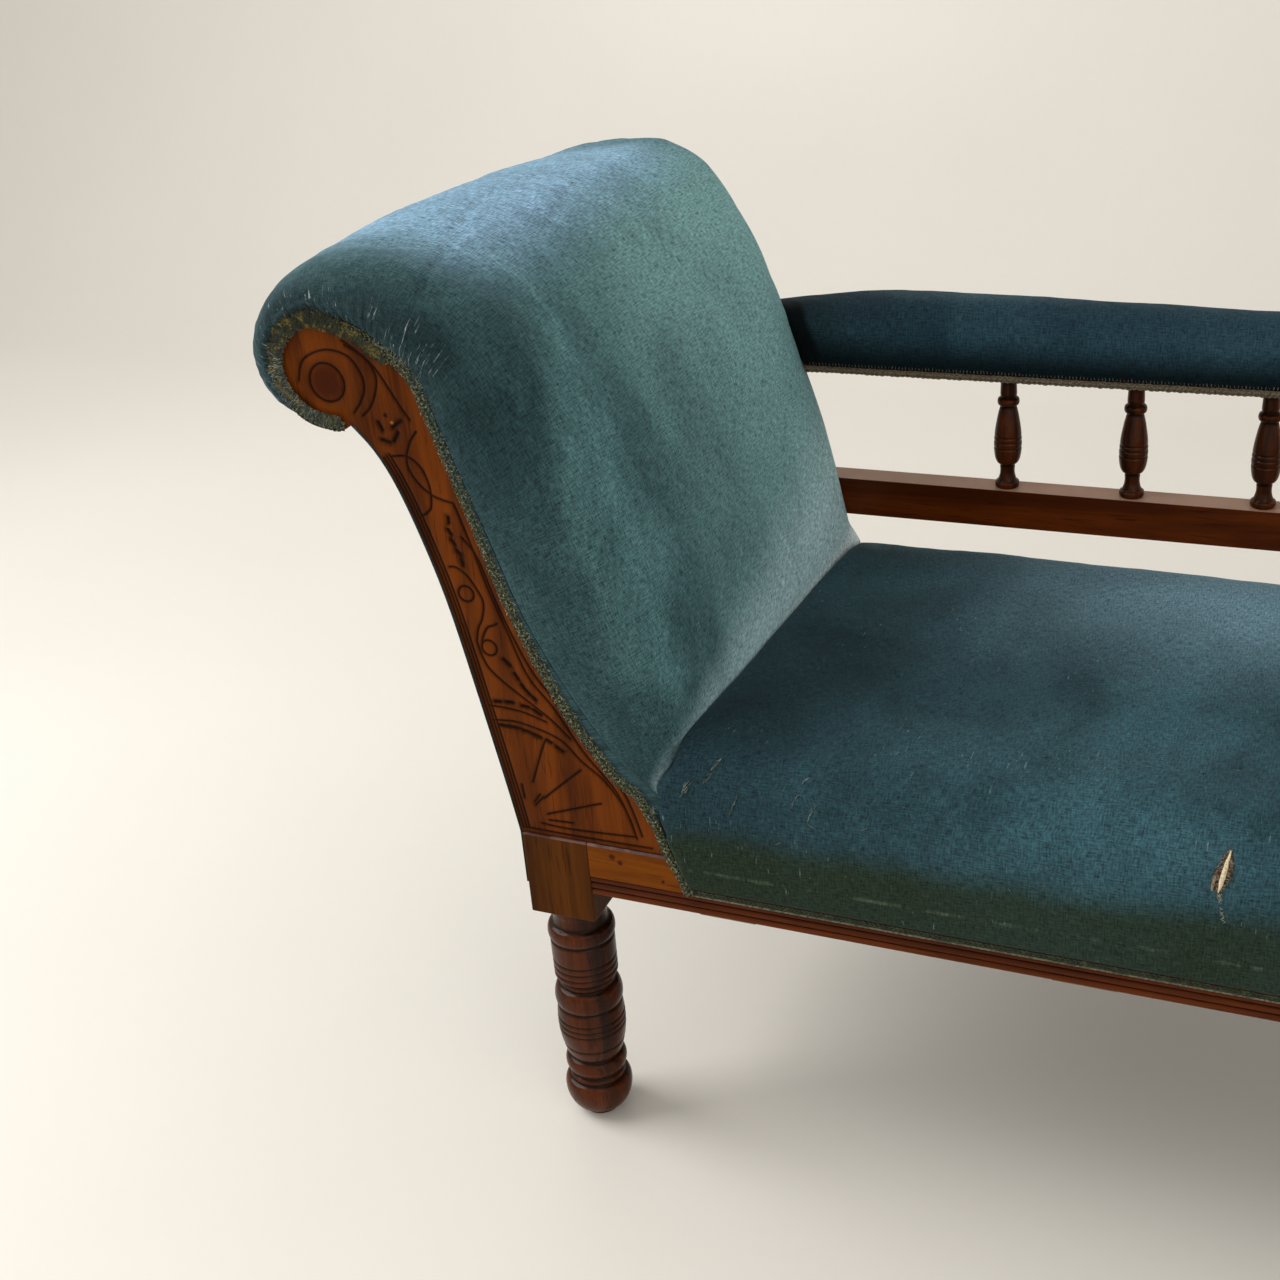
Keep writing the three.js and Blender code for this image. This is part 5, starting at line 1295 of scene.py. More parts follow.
def makeSeatPad():
    runs, arcs, foot = (seatShape[key] for key in ("runs", "arcs", "foot"))
    stations = 2 * runs + 2 * arcs + foot
    points, unrolled = [], []
    rings = seatRings()
    crownGrow = rings[-1][0]
    for grow, radius, up, beyond in rings:
        heights = [seatBottom + riseAt(y) * up for y in (frontFace - grow, backFace + grow)]
        starts = seatStart(frontFace - grow, heights[0]), seatStart(backFace + grow, heights[1])
        plan = ringPlan(grow, radius, *starts)
        for k, (x, y) in enumerate(plan):
            points.append((x, y, seatBottom + riseAt(y) * up))
            if k < runs:
                unrolled.append((x, frontFace - crownGrow - beyond, up * 100))
            elif k >= stations - runs:
                unrolled.append((x, backFace + crownGrow + beyond, up * 100))
            else:
                unrolled.append((footFace + crownGrow + beyond, y, up * 100))
    ringCount = len(rings)
    faces = gridFaces(ringCount, stations)
    # Underside: in over the rails, then up to the springs
    within = -railThickness - fitGap
    under = [(fitGap, seatBottom), (fitGap, railTop + fitGap), (within, railTop + fitGap),
             (within, seatShape["springCeiling"])]
    lowest = []
    for grow, height in under:
        left = seatStart(frontFace, height)
        plan = ringPlan(grow, seatShape["corner"] * seatShape["cornerShare"], left, left)
        lowest.append(len(points))
        points += [(x, y, height) for x, y in plan]
        unrolled += [(x, y, 0) for x, y in plan]
    faces += [(k, k + 1, lowest[0] + k + 1, lowest[0] + k) for k in range(stations - 1)]
    faces += gridFaces(len(under), stations, lowest[0])
    last = lowest[-1]
    faces += [(last + k, last + k + 1, last + stations - 2 - k, last + stations - 1 - k) for k in range(runs - 1)]
    faces.append(tuple(range(last + runs - 1, last + stations - runs + 1)))
    # Flat field inside the crown, in rows from front to back
    top = (ringCount - 1) * stations
    crown, ahead, behind = np.array(points[top:top + stations]), runs - 1, stations - runs
    fieldRows = foot + 2
    depths = np.concatenate(([crown[0, 1]], np.linspace(crown[0, 1] + seatShape["smallCorner"],
                             crown[-1, 1] - seatShape["smallCorner"], foot), [crown[-1, 1]]))
    field = len(points)
    for j in range(1, fieldRows - 1):
        left = seatStart(depths[j], seatBottom + riseAt(depths[j]))
        for k in range(runs):
            x = left + (crown[ahead, 0] - left) * k / (runs - 1)
            points.append((x, depths[j], seatBottom + riseAt(depths[j])))
            unrolled.append((x, depths[j], 100))

    def fieldAt(j, k):
        if j == 0:
            return top + k
        if j == fieldRows - 1:
            return top + stations - 1 - k
        return field + (j - 1) * runs + k

    faces += [(fieldAt(j, k), fieldAt(j, k + 1), fieldAt(j + 1, k + 1), fieldAt(j + 1, k))
              for j in range(fieldRows - 1) for k in range(runs - 1)]
    side = top + runs + arcs
    faces += [(fieldAt(j + 1, ahead), side + j, side + j + 1, fieldAt(j + 2, ahead)) for j in range(foot - 1)]
    faces.append((fieldAt(1, ahead),) + tuple(range(top + ahead, side + 1)))
    faces.append((fieldAt(foot, ahead),) + tuple(range(side + foot - 1, top + behind + 1)))
    # End against the head end, closed by triangles
    loop = [i * stations for i in range(ringCount)] + [fieldAt(j, 0) for j in range(1, fieldRows - 1)]
    loop += [i * stations + stations - 1 for i in reversed(range(ringCount))]
    loop += [row + stations - 1 for row in lowest] + [row for row in reversed(lowest)]
    flat = [Vector((points[k][1], points[k][2], 0)) for k in loop]
    faces += [tuple(loop[k] for k in corner) for corner in tessellate_polygon([flat])]
    piece = meshPiece("seat_upholstery", points, faces, unrolled)
    number = np.arange(len(points))
    onRings = number < ringCount * stations
    held = (onRings & (number < 2 * stations)) | ((number >= lowest[0]) & (number < field)) | np.isin(number, loop)
    stuffed(piece, number[held], seatShape["cap"])
    subdivided(piece)
    seatDetail(piece)
    return dressed(piece, "velvet", seatCover, "seat_pad")


def seatDetail(piece):
    points, normals, cloth = pointsOf(piece), normalsOf(piece), unrolledOf(piece)
    fromHead = step(0, 45, points[:, 0] - 106)
    covered = (points[:, 2] > seatBottom + 4) & (normals[:, 2] > -0.4)
    skirt = step(seatBottom + 3, seatBottom + 30, points[:, 2])
    lumpy = 1.5 * lumps(points, 95, 21) + 0.6 * lumps(points, 38, 22)
    rollEdge = 1.4 * np.exp(-((points[:, 2] - seatBottom - 103) / 9) ** 2) * step(0.2, 0.8, -normals[:, 1])
    runs = 0.3 * lumps(cloth * (1.0, 0.15, 1.0), 12, 23) + 0.25 * lumps(cloth * (0.15, 1.0, 1.0), 12, 24)
    shift = np.where(covered, (lumpy * fromHead + rollEdge + runs) * skirt, 0)
    setPoints(piece, points + normals * shift[:, None])


seatPad = makeSeatPad()
seatTree = treeOf(seatPad)


def onPiece(tree, origin, way):  # place and outward direction where a ray meets a piece
    hit = tree.ray_cast(Vector(start + np.array(origin, float) * mm), Vector(way))
    return (np.array(hit[0]) - start) / mm, np.array(hit[1])


def onFront(x, z):  # the same on the front of the seat
    return onPiece(seatTree, (x, frontFace - rayStart, z), (0, 1, 0))


# Torn slit in the front of the seat: wadding shows between two frayed edges
tear = {"middle": [(550.8, 406), (549.8, 400), (548.4, 393), (547.0, 386), (546.2, 380)], "width": 12.5,
        "waddingWidth": 3.4, "edgeAway": -4.6, "edgeWidth": 2.2, "thickness": 0.8, "threads": 260,
        "threadLength": 5.0,
        "tail": [(546.6, 379), (549.0, 366), (552.0, 354)]}


def sliver(length, radius, bend=0.15):  # a thread from its mark along X, thinner to its end
    path = [(length * t, 0.0, bend * length * t * (1 - t)) for t in (0.0, 0.35, 0.7, 1.0)]
    return tubeShell(path, radius * np.array((1.0, 0.9, 0.7, 0.25)), 4)


def tearPatch(name, away, width, lift, swell, seed, finish, first=0):
    line = smoothLine(np.array(tear["middle"][first:], float) + (away, 0), 0.8)
    points, sides = [], np.linspace(-1, 1, 11)
    for k, (x, z) in enumerate(line):
        half = width / 2 * math.sin(math.pi * (k + 0.4) / (len(line) - 0.2)) ** 0.7
        for side in sides:
            place, _ = onFront(x + side * half, z + 0.15 * side * half)
            points.append(place + (0, -lift - swell * (1 - side * side), 0))
    points = np.array(points)
    points[:, 1] -= 0.35 * lumps(points, 3.0, seed)
    points[:, 0] += 0.6 * lumps(points, 5.0, seed + 10)
    piece = meshPiece(name, points, gridFaces(len(line), len(sides)))
    dressed(thickened(piece, tear["thickness"]), "jute_webbing", finish)


def makeTear():
    tearPatch("seat_tear_backing", 0, tear["width"], 0.3, 0.1, 51, tornCloth)
    tearPatch("seat_tear_wadding", 0.4, tear["waddingWidth"], 0.6, 1.3, 52, wadding)
    tearPatch("seat_tear_edge", tear["edgeAway"], tear["edgeWidth"], 0.5, 0.5, 53, paleEdge, 2)
    chance = np.random.default_rng(61)
    line, tail = (smoothLine(np.array(tear[key], float), 0.5) for key in ("middle", "tail"))
    marks, along, outward = [], [], []
    for number in range(tear["threads"]):
        onTail = number % 8 == 7
        row = tail if onTail else line
        k = chance.integers(0, len(row))
        side = chance.choice((-1, 1))
        half = 1.2 if onTail else tear["width"] / 2 * math.sin(math.pi * (k + 1) / (len(row) + 1)) ** 0.7
        x, z = row[k] + (side * half * chance.uniform(0.75, 1.15), 0)
        place, normal = onFront(x, z)
        marks.append(place + normal * 0.5)
        along.append((-side * chance.uniform(0.2, 1.0), 0.0, chance.uniform(-1, 1)))
        outward.append(normal + (0, -0.15, 0))
    for name, finish, first in (("seat_tear_threads", tornCloth, 0), ("seat_tear_pile", woolThread, 1)):
        scattered("velvet", name, marks[first::2], along[first::2], outward[first::2],
                  sliver(tear["threadLength"], 0.34), finish, loose=0.3, sizes=(0.4, 1.1))


# Pulled threads on the seat, by turns on its front and on its top, each in its ranges
lint = {"count": 70, "frontX": (170, 1400), "frontZ": (345, 400), "topX": (220, 1400), "topY": (20, 430),
        "above": 600, "length": 6.0, "radius": 0.22, "bend": 0.3}


def makeLint():
    chance = np.random.default_rng(67)
    marks, along, outward = [], [], []
    for number in range(lint["count"]):
        if number % 2:
            place, normal = onFront(chance.uniform(*lint["frontX"]), chance.uniform(*lint["frontZ"]))
        else:
            above = (chance.uniform(*lint["topX"]), chance.uniform(*lint["topY"]), lint["above"])
            place, normal = onPiece(seatTree, above, (0, 0, -1))
        marks.append(place + normal * 0.2)
        along.append((chance.uniform(0.4, 1), chance.uniform(-1, 1) * (1 - number % 2), chance.uniform(-1, 1)))
        outward.append(normal)
    scattered("velvet", "seat_pulled_threads", marks, along, outward,
              sliver(lint["length"], lint["radius"], lint["bend"]), woolThread, loose=0.4, sizes=(0.4, 1.2))


# Small cuts in the seat's cover, with the pale cotton showing: X, Z, width, height and number of threads
nicks = [(147, 406, 2.4, 12, 34), (128, 394, 5.0, 12, 16), (170, 386, 1.4, 16, 9), (222, 400, 1.4, 18, 12),
         (236, 390, 2.0, 16, 8)]


def makeNicks():
    chance = np.random.default_rng(75)
    rows = []
    for x, z, width, height, count in nicks:
        down = chance.uniform(-0.5, 0.5, count)
        rows += [onFront(x + height * 0.4 * t + width * chance.normal(0, 0.3), z + height * t) for t in down]
    marks = [spot + normal * 0.25 for spot, normal in rows]
    count = len(marks)
    along = np.stack((chance.normal(0.4, 0.15, count), chance.normal(0, 0.1, count), np.ones(count)), axis=1)
    scattered("velvet", "seat_nicks", marks, along, [normal for _, normal in rows], sliver(5.0, 0.42, 0.2),
              woolThread, loose=0.2, sizes=(0.4, 1.1))


# Frayed threads where the head end, the seat and the braid meet
seamThreads = {"count": 34, "x": (93, 99), "out": (0.2, 1.6), "z": (358, 371), "length": 6.5}


def makeSeamThreads():
    chance = np.random.default_rng(69)
    count = seamThreads["count"]
    x, out, z = (chance.uniform(*seamThreads[key], count) for key in ("x", "out", "z"))
    marks = np.stack((x, frontFace - out, z), axis=1)
    along = chance.normal(0, 1, (count, 3)) * (0.7, 0.1, 1.0)
    scattered("velvet", "seam_threads", marks, along, (0, -1, 0), sliver(seamThreads["length"], 0.42, 0.3),
              woolThread, loose=0.5, sizes=(0.5, 1.2))


makeTear()
makeLint()
makeNicks()
makeSeamThreads()
print("couch: seat upholstered")


# Stuffed arm of the gallery, open below for the rail that it is tacked to
armShape = {
    "width": 76.0, "bottom": 586.0, "top": boxOf("gallery_pad")[1][2] - 2.5, "endFall": 16.0, "fallFrom": 170.0,
    "fallLength": 136.0, "sag": 7.5, "sagFrom": 225.0, "sagTo": 620.0,
    "end": boxOf("gallery_pad")[1][0], "roundEnd": 30.0, "tuckLength": 90.0, "spacing": 6.0, "cap": 3.0,
    "section": [(0.94, 0.0), (1.0, 0.14), (1.0, 0.36), (0.97, 0.58), (0.86, 0.78), (0.64, 0.92), (0.34, 0.985),
                (0.0, 1.0), (-0.34, 0.985), (-0.64, 0.92), (-0.86, 0.78), (-0.97, 0.58), (-1.0, 0.36), (-1.0, 0.14),
                (-0.94, 0.0)],
    "around": 44, "coreFromBack": 1.8, "coreShare": 0.8,
    "tuck": [(0.0, 0.42), (0.3, 0.72), (0.65, 0.93), (1.0, 1.0)],
    "endShares": [(0.0, 1.0), (0.4, 0.98), (0.7, 0.90), (0.88, 0.80), (1.0, 0.62)],
}


def armSectionAt(x, tuckStart):  # closed section at one place along the arm
    shape = armShape
    away, shares = zip(*shape["tuck"])
    backShare = np.interp((x - tuckStart) / shape["tuckLength"], away, shares)
    ends, shrinks = zip(*shape["endShares"])
    shrink = np.interp((x - shape["end"] + shape["roundEnd"]) / shape["roundEnd"], ends, shrinks)
    half = shape["width"] / 2 * (1 + shrink) / 2
    short = np.clip((shape["fallFrom"] - x) / shape["fallLength"], 0, 1.15) ** 1.6
    sunk = shape["sag"] * step(shape["sagFrom"], shape["sagTo"], x)
    height = (shape["top"] - shape["bottom"]) * shrink - shape["endFall"] * short - sunk * shrink
    outline = smoothLine(np.array(shape["section"]) * (half, height), 4.0)
    places, known = np.linspace(0, 1, shape["around"]), np.linspace(0, 1, len(outline))
    outline = np.stack([np.interp(places, known, column) for column in outline.T], axis=1)
    outline[:, 0] *= np.where(outline[:, 0] > 0, backShare, 1.0)
    core = (armCoreHigh[1] - armCoreLow[1]) / 2 + fitGap
    coreBack = min(core, outline[0, 0] - shape["coreFromBack"])
    coreTop = min(armCoreHigh[2] + fitGap, shape["bottom"] + shape["coreShare"] * height) - shape["bottom"]
    channel = [(-core, 0.0), (-core, coreTop), (coreBack, coreTop), (coreBack, 0.0)]
    return np.concatenate((outline, channel)) + (galleryMiddle, shape["bottom"])


def makeArmPad():
    tuckStart = edgeAtHeight(armShape["top"])
    gimpEnd = armShape["end"]
    stations = int((gimpEnd - tuckStart) / armShape["spacing"])
    first = armSectionAt(tuckStart + armShape["tuckLength"] * 1.5, tuckStart)
    starts = np.array([besideHead(y, z, 1.2) for y, z in first])
    rows, count = [], len(first)
    for u in np.linspace(0, 1, stations):
        xs = starts + (gimpEnd - starts) * u
        if u < 0.2:
            section = np.array([armSectionAt(x, tuckStart)[k] for k, x in enumerate(xs)])
        else:
            section = armSectionAt(xs.mean(), tuckStart)
        rows.append(np.stack((xs, section[:, 0], section[:, 1]), axis=1))
    grid = np.array(rows)
    around = lengthsAlong(first)
    unrolled = np.stack(np.broadcast_arrays(grid[:, :, 0], around[None, :], grid[:, :, 0] - starts), axis=2)
    piece = meshPiece("gallery_arm_upholstery", grid.reshape(-1, 3), tubeFaces(stations, count),
                      unrolled.reshape(-1, 3))
    number = np.arange(stations * count)
    row, column = number // count, number % count
    held = (row < 2) | (column < 1) | (column > count - 6) | (row > stations - 2)
    stuffed(piece, number[held], armShape["cap"])
    subdivided(piece)
    points, normals, cloth = pointsOf(piece), normalsOf(piece), unrolledOf(piece)
    skin = step(armShape["bottom"] + 1, armShape["bottom"] + 14, points[:, 2]) * step(0, 30, cloth[:, 0] - 20)
    shift = (0.8 * lumps(points, 60, 31) + 0.35 * lumps(cloth * (0.2, 1.0, 1.0), 12, 33)) * skin
    setPoints(piece, points + normals * shift[:, None])
    return dressed(piece, "velvet", armCover, "gallery_pad")


armPad = makeArmPad()
print("couch: arm upholstered")


# Spindles of the gallery, one turning set on seven marks. Rows as for the legs, above the lower rail
galleryTurning = {
    "sides": 44, "spacing": 0.6, "softness": 0.35, "grooves": [54.6, 49.6, 43.0], "grooveDepth": 1.1,
    "grooveWidth": 0.95,
    "rows": [
        (0.0, 10.6, 0, 1), (0.6, 11.3, 0, 1), (6.2, 11.5, 0.6, 0.5), (6.8, 9.7, 0, 1), (22.0, 7.5, -1.2, 1),
        (22.6, 7.2, 0, 1), (24.5, 7.6, 0, 1), (26.2, 10.2, 0, 1), (29.0, 11.7, 0, 1), (32.0, 12.6, 0, 1),
        (36.0, 13.3, 0, 1), (41.0, 13.75, 0, 1), (47.0, 13.8, 0, 1), (54.0, 13.5, 0, 1), (62.0, 12.7, 0, 1),
        (68.0, 11.8, 0, 1), (77.0, 10.2, 0, 1), (82.0, 9.0, 0, 1), (86.0, 7.9, 0, 1), (86.5, 7.9, 0, 1),
        (87.0, 9.2, 0, 1), (94.5, 9.2, 1.6, 0.5), (95.0, 7.7, 0, 1), (98.5, 8.2, 0, 1), (109.0, 7.8, 0, 1),
        (121.0, 7.9, 0, 1)],
}


def makeSpindles():
    profile, cavity = turnedProfile(galleryTurning)
    profile[:, 1] *= (armCoreLow[2] - lowerRailHigh[2]) / profile[-1, 1]
    nodes = [f"spindle_{number}" for number in range(1, 8)]
    marks = [(x, y, lowerRailHigh[2]) for x, y, _ in map(middleOf, nodes)]
    sides = galleryTurning["sides"]
    scattered("turned_wood", "turned_spindles", marks, (1, 0, 0), (0, 0, 1), turnedShell(profile, sides), turnedWood,
              *nodes, loose=1.5, cavity=np.repeat(cavity.clip(0, 1), sides))


makeSpindles()
print("couch: spindles set")


# Gimp braids: a tape with small loops set on it in turn
def loopShape(wide, long, thread, sideways):
    angles = np.linspace(0, 2 * math.pi, 11)[:-1]
    ring = np.stack((long / 2 * np.cos(angles), sideways + wide / 2 * np.sin(angles),
                     0.5 + 0.4 * np.cos(angles)), axis=1)
    ring = np.concatenate((ring, ring[:1]))
    return tubeShell(ring, thread, 4)


def braid(name, path, across, outward, width, pitch, thread, finish, lift, nodes, thickness=1.2, loose=0.25):
    path = np.asarray(path, float)
    across, outward = (np.broadcast_to(np.asarray(rows, float), path.shape) for rows in (across, outward))
    tape = ribbonShell(path, across, outward, 0.94 * width, thickness)
    dressed(meshPiece(name + "_tape", *tape), "gimp_braid", finish)
    lengths = lengthsAlong(path)
    places = np.arange(pitch, lengths[-1] - pitch / 2, pitch)
    marks = np.stack([np.interp(places, lengths, column) for column in (path + outward * lift).T], axis=1)
    along = np.gradient(marks, axis=0)
    out = np.stack([np.interp(places, lengths, column) for column in outward.T], axis=1)
    shape = loopShape(0.52 * width, 2.1 * pitch, thread, 0.24 * width)
    scattered("gimp_braid", name, marks, along, out, shape, finish, *nodes, turn=math.pi, loose=loose,
              sizes=(0.9, 1.1))


gimpShape = {"width": 8.4, "pitch": 2.1, "thread": 0.52, "overVelvet": 1.4, "lift": 1.7, "offFace": 0.4}


def headGimpPath():
    onPanel, onRail = panelOuter - gimpShape["offFace"], frontFace - gimpShape["offFace"]
    slant = seatShape["gimpSlant"] / (railTop - reedTop)
    half = gimpShape["width"] / 2
    foot = headShape["foot"]
    low = [(foot - half + gimpShape["overVelvet"] + (railTop - z) * slant, onRail, z)
           for z in np.linspace(reedTop + 1, railTop - 1, 12)]
    shares = sharesAtSpacing(edgePlaces, 0.0, 1, 2.0)
    line = offsetLine(edgePlaces, shares, gimpShape["overVelvet"] - half)
    high = [(x, onRail if z < railTop + gimpShape["width"] else onPanel, z) for x, z in line if z > railTop]
    path = np.array(low + high)
    drift = driftAt(path[:, 2]) * (np.arange(len(path)) < len(path) * 0.6)
    onMargin = np.clip(drift / 4, 0, 1) * (path[:, 1] > onRail)
    return path - np.stack((drift, onMargin * coverMargin["onPanel"], drift * 0), axis=1)


def makeHeadGimps():
    path = headGimpPath()
    path[:, 1] = np.convolve(np.pad(path[:, 1], 3, mode="edge"), np.ones(7) / 7, mode="valid")
    along = waysAlong(path)
    across = np.stack((along[:, 2], np.zeros(len(path)), -along[:, 0]), axis=1)
    for side, places, way in (("front", path, -1), ("back", toBack(path), 1)):
        braid("head_braid_" + side, places, across, (0, way, 0), gimpShape["width"], gimpShape["pitch"],
              gimpShape["thread"], headBraid, gimpShape["lift"], ["head_gimp_" + side])


makeHeadGimps()


# Fringe of the braid, frayed round the scroll: short threads from its inner side out over the velvet
fringeShape = {
    "count": 2400, "inner": -12.5, "length": 8.0, "radius": 0.42, "from": 0.57,
    "reach": [(0.55, -4.0), (0.62, 0.0), (0.70, 7.0), (0.82, 7.5), (0.90, 4.0), (1.0, -1.0)],  # by share of the edge
    "innerOut": 2.6, "outerOut": 2.9, "paleFrom": 0.84, "paleShare": 0.22, "flecks": 900, "fleckLength": 3.4,
    "fleckRadius": 0.3, "fleckOut": 3.0,
}


def onBothSides(marks, along, shape, sizes, kinds):  # each kind has a name, a finish and its marks
    for side, places, way in (("front", marks, -1), ("back", toBack(marks), 1)):
        for name, finish, which in kinds:
            scattered("gimp_braid", name + side, places[which], along[which], (0, way, 0), shape, finish,
                      sizes=sizes)


def makeFringe():
    chance = np.random.default_rng(71)
    shape = fringeShape
    fine = np.linspace(shape["from"], 0.995, 600)
    lengths = lengthsAlong(throughPoints(edgePlaces, fine))
    shares = np.interp(chance.uniform(0, lengths[-1], shape["count"]), lengths, fine)
    outer = np.interp(shares, *zip(*shape["reach"])) - shape["length"]
    offsets = shape["inner"] + (outer - shape["inner"]) * chance.uniform(0, 1, shape["count"])
    line, ahead = offsetLine(edgePlaces, shares, offsets), offsetLine(edgePlaces, shares, offsets + 1)
    way = ahead - line
    sideways = np.stack((way[:, 1], -way[:, 0]), axis=1) * chance.normal(0, 0.55, shape["count"])[:, None]
    along = np.stack(((way + sideways)[:, 0], np.zeros(len(way)), (way + sideways)[:, 1]), axis=1)
    out = np.where(offsets < -shape["length"] / 2, shape["innerOut"], shape["outerOut"])
    depth = panelOuter - out - chance.uniform(0, 0.8, shape["count"])
    marks = np.stack((line[:, 0], depth, line[:, 1]), axis=1)
    pale = (shares > shape["paleFrom"]) & (chance.uniform(0, 1, shape["count"]) < shape["paleShare"])
    onBothSides(marks, along, sliver(shape["length"], shape["radius"]), (0.55, 1.15),
                (("fringe_", fringeThread, ~pale), ("frayed_threads_", woolThread, pale)))


makeFringe()


def makeFlecks():  # short frayed ends where the velvet meets the braid
    chance = np.random.default_rng(73)
    shares = chance.uniform(0.1, fringeShape["from"] + 0.04, fringeShape["flecks"])
    offsets = chance.uniform(-1.5, 2.4, len(shares))
    line, ahead = offsetLine(edgePlaces, shares, offsets), offsetLine(edgePlaces, shares, offsets + 1)
    way = ahead - line
    along = np.stack((way[:, 0], np.zeros(len(way)), way[:, 1]), axis=1)
    along = along + chance.normal(0, 0.7, (len(way), 3)) * (1, 0, 1)
    drift = driftAt(line[:, 1])
    base = frontFace + (panelOuter - fringeShape["fleckOut"] - frontFace) * np.clip(drift / 6, 0, 1)
    marks = np.stack((line[:, 0] - drift, base - chance.uniform(0.1, 0.9, len(way)), line[:, 1]), axis=1)
    onBothSides(marks, along, sliver(fringeShape["fleckLength"], fringeShape["fleckRadius"]), (0.5, 1.2),
                (("braid_flecks_", headBraid, slice(0, None, 2)), ("pile_flecks_", woolThread, slice(1, None, 2))))


makeFlecks()


hemBraid = {"width": 5.4, "pitch": 2.0, "thread": 0.45, "lift": 0.7, "thickness": 0.9, "corner": 3.0,
            "cordRadius": 0.85, "cordUp": 0.9, "cordOut": 1.3}


def makeSeatGimp():
    z = (seatGimpLow[2] + seatGimpHigh[2]) / 2
    left = seatStart(frontFace, z)
    corner = hemBraid["corner"]
    turns = np.linspace(0, math.pi / 2, 6)
    x1, y0, y1 = footFace + fitGap, frontFace - fitGap, backFace + fitGap
    plan = [(left, y0)] + [(x1 - corner + corner * math.sin(a), y0 + corner - corner * math.cos(a)) for a in turns]
    plan += [(x1 - corner + corner * math.cos(a), y1 - corner + corner * math.sin(a)) for a in turns] + [(left, y1)]
    path = evenly(np.array([(x, y, z) for x, y in plan]), 2.0)
    along = waysAlong(path)
    outward = np.stack((along[:, 1], -along[:, 0], along[:, 2] * 0), axis=1)
    braid("seat_braid", path, (0, 0, 1), outward, hemBraid["width"], hemBraid["pitch"], hemBraid["thread"],
          seatBraid, hemBraid["lift"], ["seat_gimp"], hemBraid["thickness"], 0.3)
    cord = path + (0, 0, seatGimpLow[2] - z + hemBraid["cordUp"]) + outward * hemBraid["cordOut"]
    turns = np.cos(np.arange(len(cord)) * 2.4)
    cord = cord + outward * 0.15 * turns[:, None]
    radius = hemBraid["cordRadius"] + 0.12 * turns
    dressed(meshPiece("seat_edge_cord", *tubeShell(cord, radius, 6)), "gimp_braid", paleCord)


makeSeatGimp()


armGimp = {"pitch": 2.6, "thread": 0.7, "lift": 1.0, "stitchUp": 3.5, "stitchSpacing": 3.4, "stitchDown": 1.6}


def makeArmGimps():
    bottom, top = armCoreLow[2], armShape["bottom"]
    z = (bottom + top) / 2
    side = (armCoreHigh[1] - armCoreLow[1]) / 2 + fitGap
    for name, y, way in (("front", galleryMiddle - side, -1), ("back", galleryMiddle + side, 1)):
        low, high = boxOf("gallery_gimp_" + name)
        path = np.array([(x, y, z) for x in np.arange(low[0] + 1, high[0], 3.0)])
        braid("gallery_braid_" + name, path, (0, 0, 1), (0, way, 0), top - bottom - 1.0, armGimp["pitch"],
              armGimp["thread"], armBraid, armGimp["lift"], ["gallery_gimp_" + name], loose=0.2)


makeArmGimps()


def makeArmStitches():
    low, high = boxOf("gallery_gimp_front")
    tree = treeOf(armPad)
    rows = [onPiece(tree, (x, galleryMiddle - 90, armShape["bottom"] + armGimp["stitchUp"]), (0, 1, 0))
            for x in np.arange(low[0] + 10, high[0] - 12, armGimp["stitchSpacing"])]
    marks = [place + normal * 0.05 - (0, 0, armGimp["stitchDown"]) for place, normal in rows]
    scattered("gimp_braid", "arm_stitches", marks, (0, 0, 1), [normal for _, normal in rows], sliver(3.2, 0.4, 0.1),
              armBraid, loose=0.25, sizes=(0.7, 1.1))


makeArmStitches()
print("couch: braids laid")


# Cloth at the outside of the head end and below the seat
backCloth = {"thickness": 1.0, "away": 1.0, "spacing": 9.0}


def makeOutsideBack():
    shares = sharesAtSpacing(outerPlaces, 0, 1, backCloth["spacing"])
    line = offsetLine(outerPlaces, shares, -backCloth["away"])
    hem = np.stack((np.full(7, line[0, 0]), np.linspace(railBottom + 1, line[0, 1] - 6, 7)), axis=1)
    line = np.concatenate((hem, line))
    width = legSpanDepth - 2 * panelOuter
    depths = np.linspace(panelOuter, legSpanDepth - panelOuter, 60)
    grid = np.array([[(x, y, z) for y in depths] for x, z in line])
    rows, columns = grid.shape[:2]
    flat = grid.reshape(-1, 3)
    sideways = np.repeat(-sidewaysOf(line), columns, axis=0)
    edge = np.minimum(flat[:, 1] - depths[0], depths[-1] - flat[:, 1])
    pull = 0.5 * lumps(flat * (1, 0.25, 1), 30, 41) * step(0, 30, edge) * step(railTop, railTop + 60, flat[:, 2])
    pull = np.maximum(pull, -0.5)
    flat = flat + np.stack((sideways[:, 0], np.zeros(len(flat)), sideways[:, 1]), axis=1) * pull[:, None]
    lengths = lengthsAlong(line)
    unrolled = np.stack(np.broadcast_arrays(flat[:, 1].reshape(rows, columns), lengths[:, None], 0.0), axis=2)
    piece = meshPiece("outside_back_cloth", flat, gridFaces(rows, columns), unrolled.reshape(-1, 3))
    dressed(thickened(piece, backCloth["thickness"]), "velvet", seatCover, "outside_back")
    width * mm


makeOutsideBack()


dustCloth = {"inset": (9.0, 9.0, 0.0), "columns": 110, "rows": 42, "sag": 2.0, "thickness": 0.8}


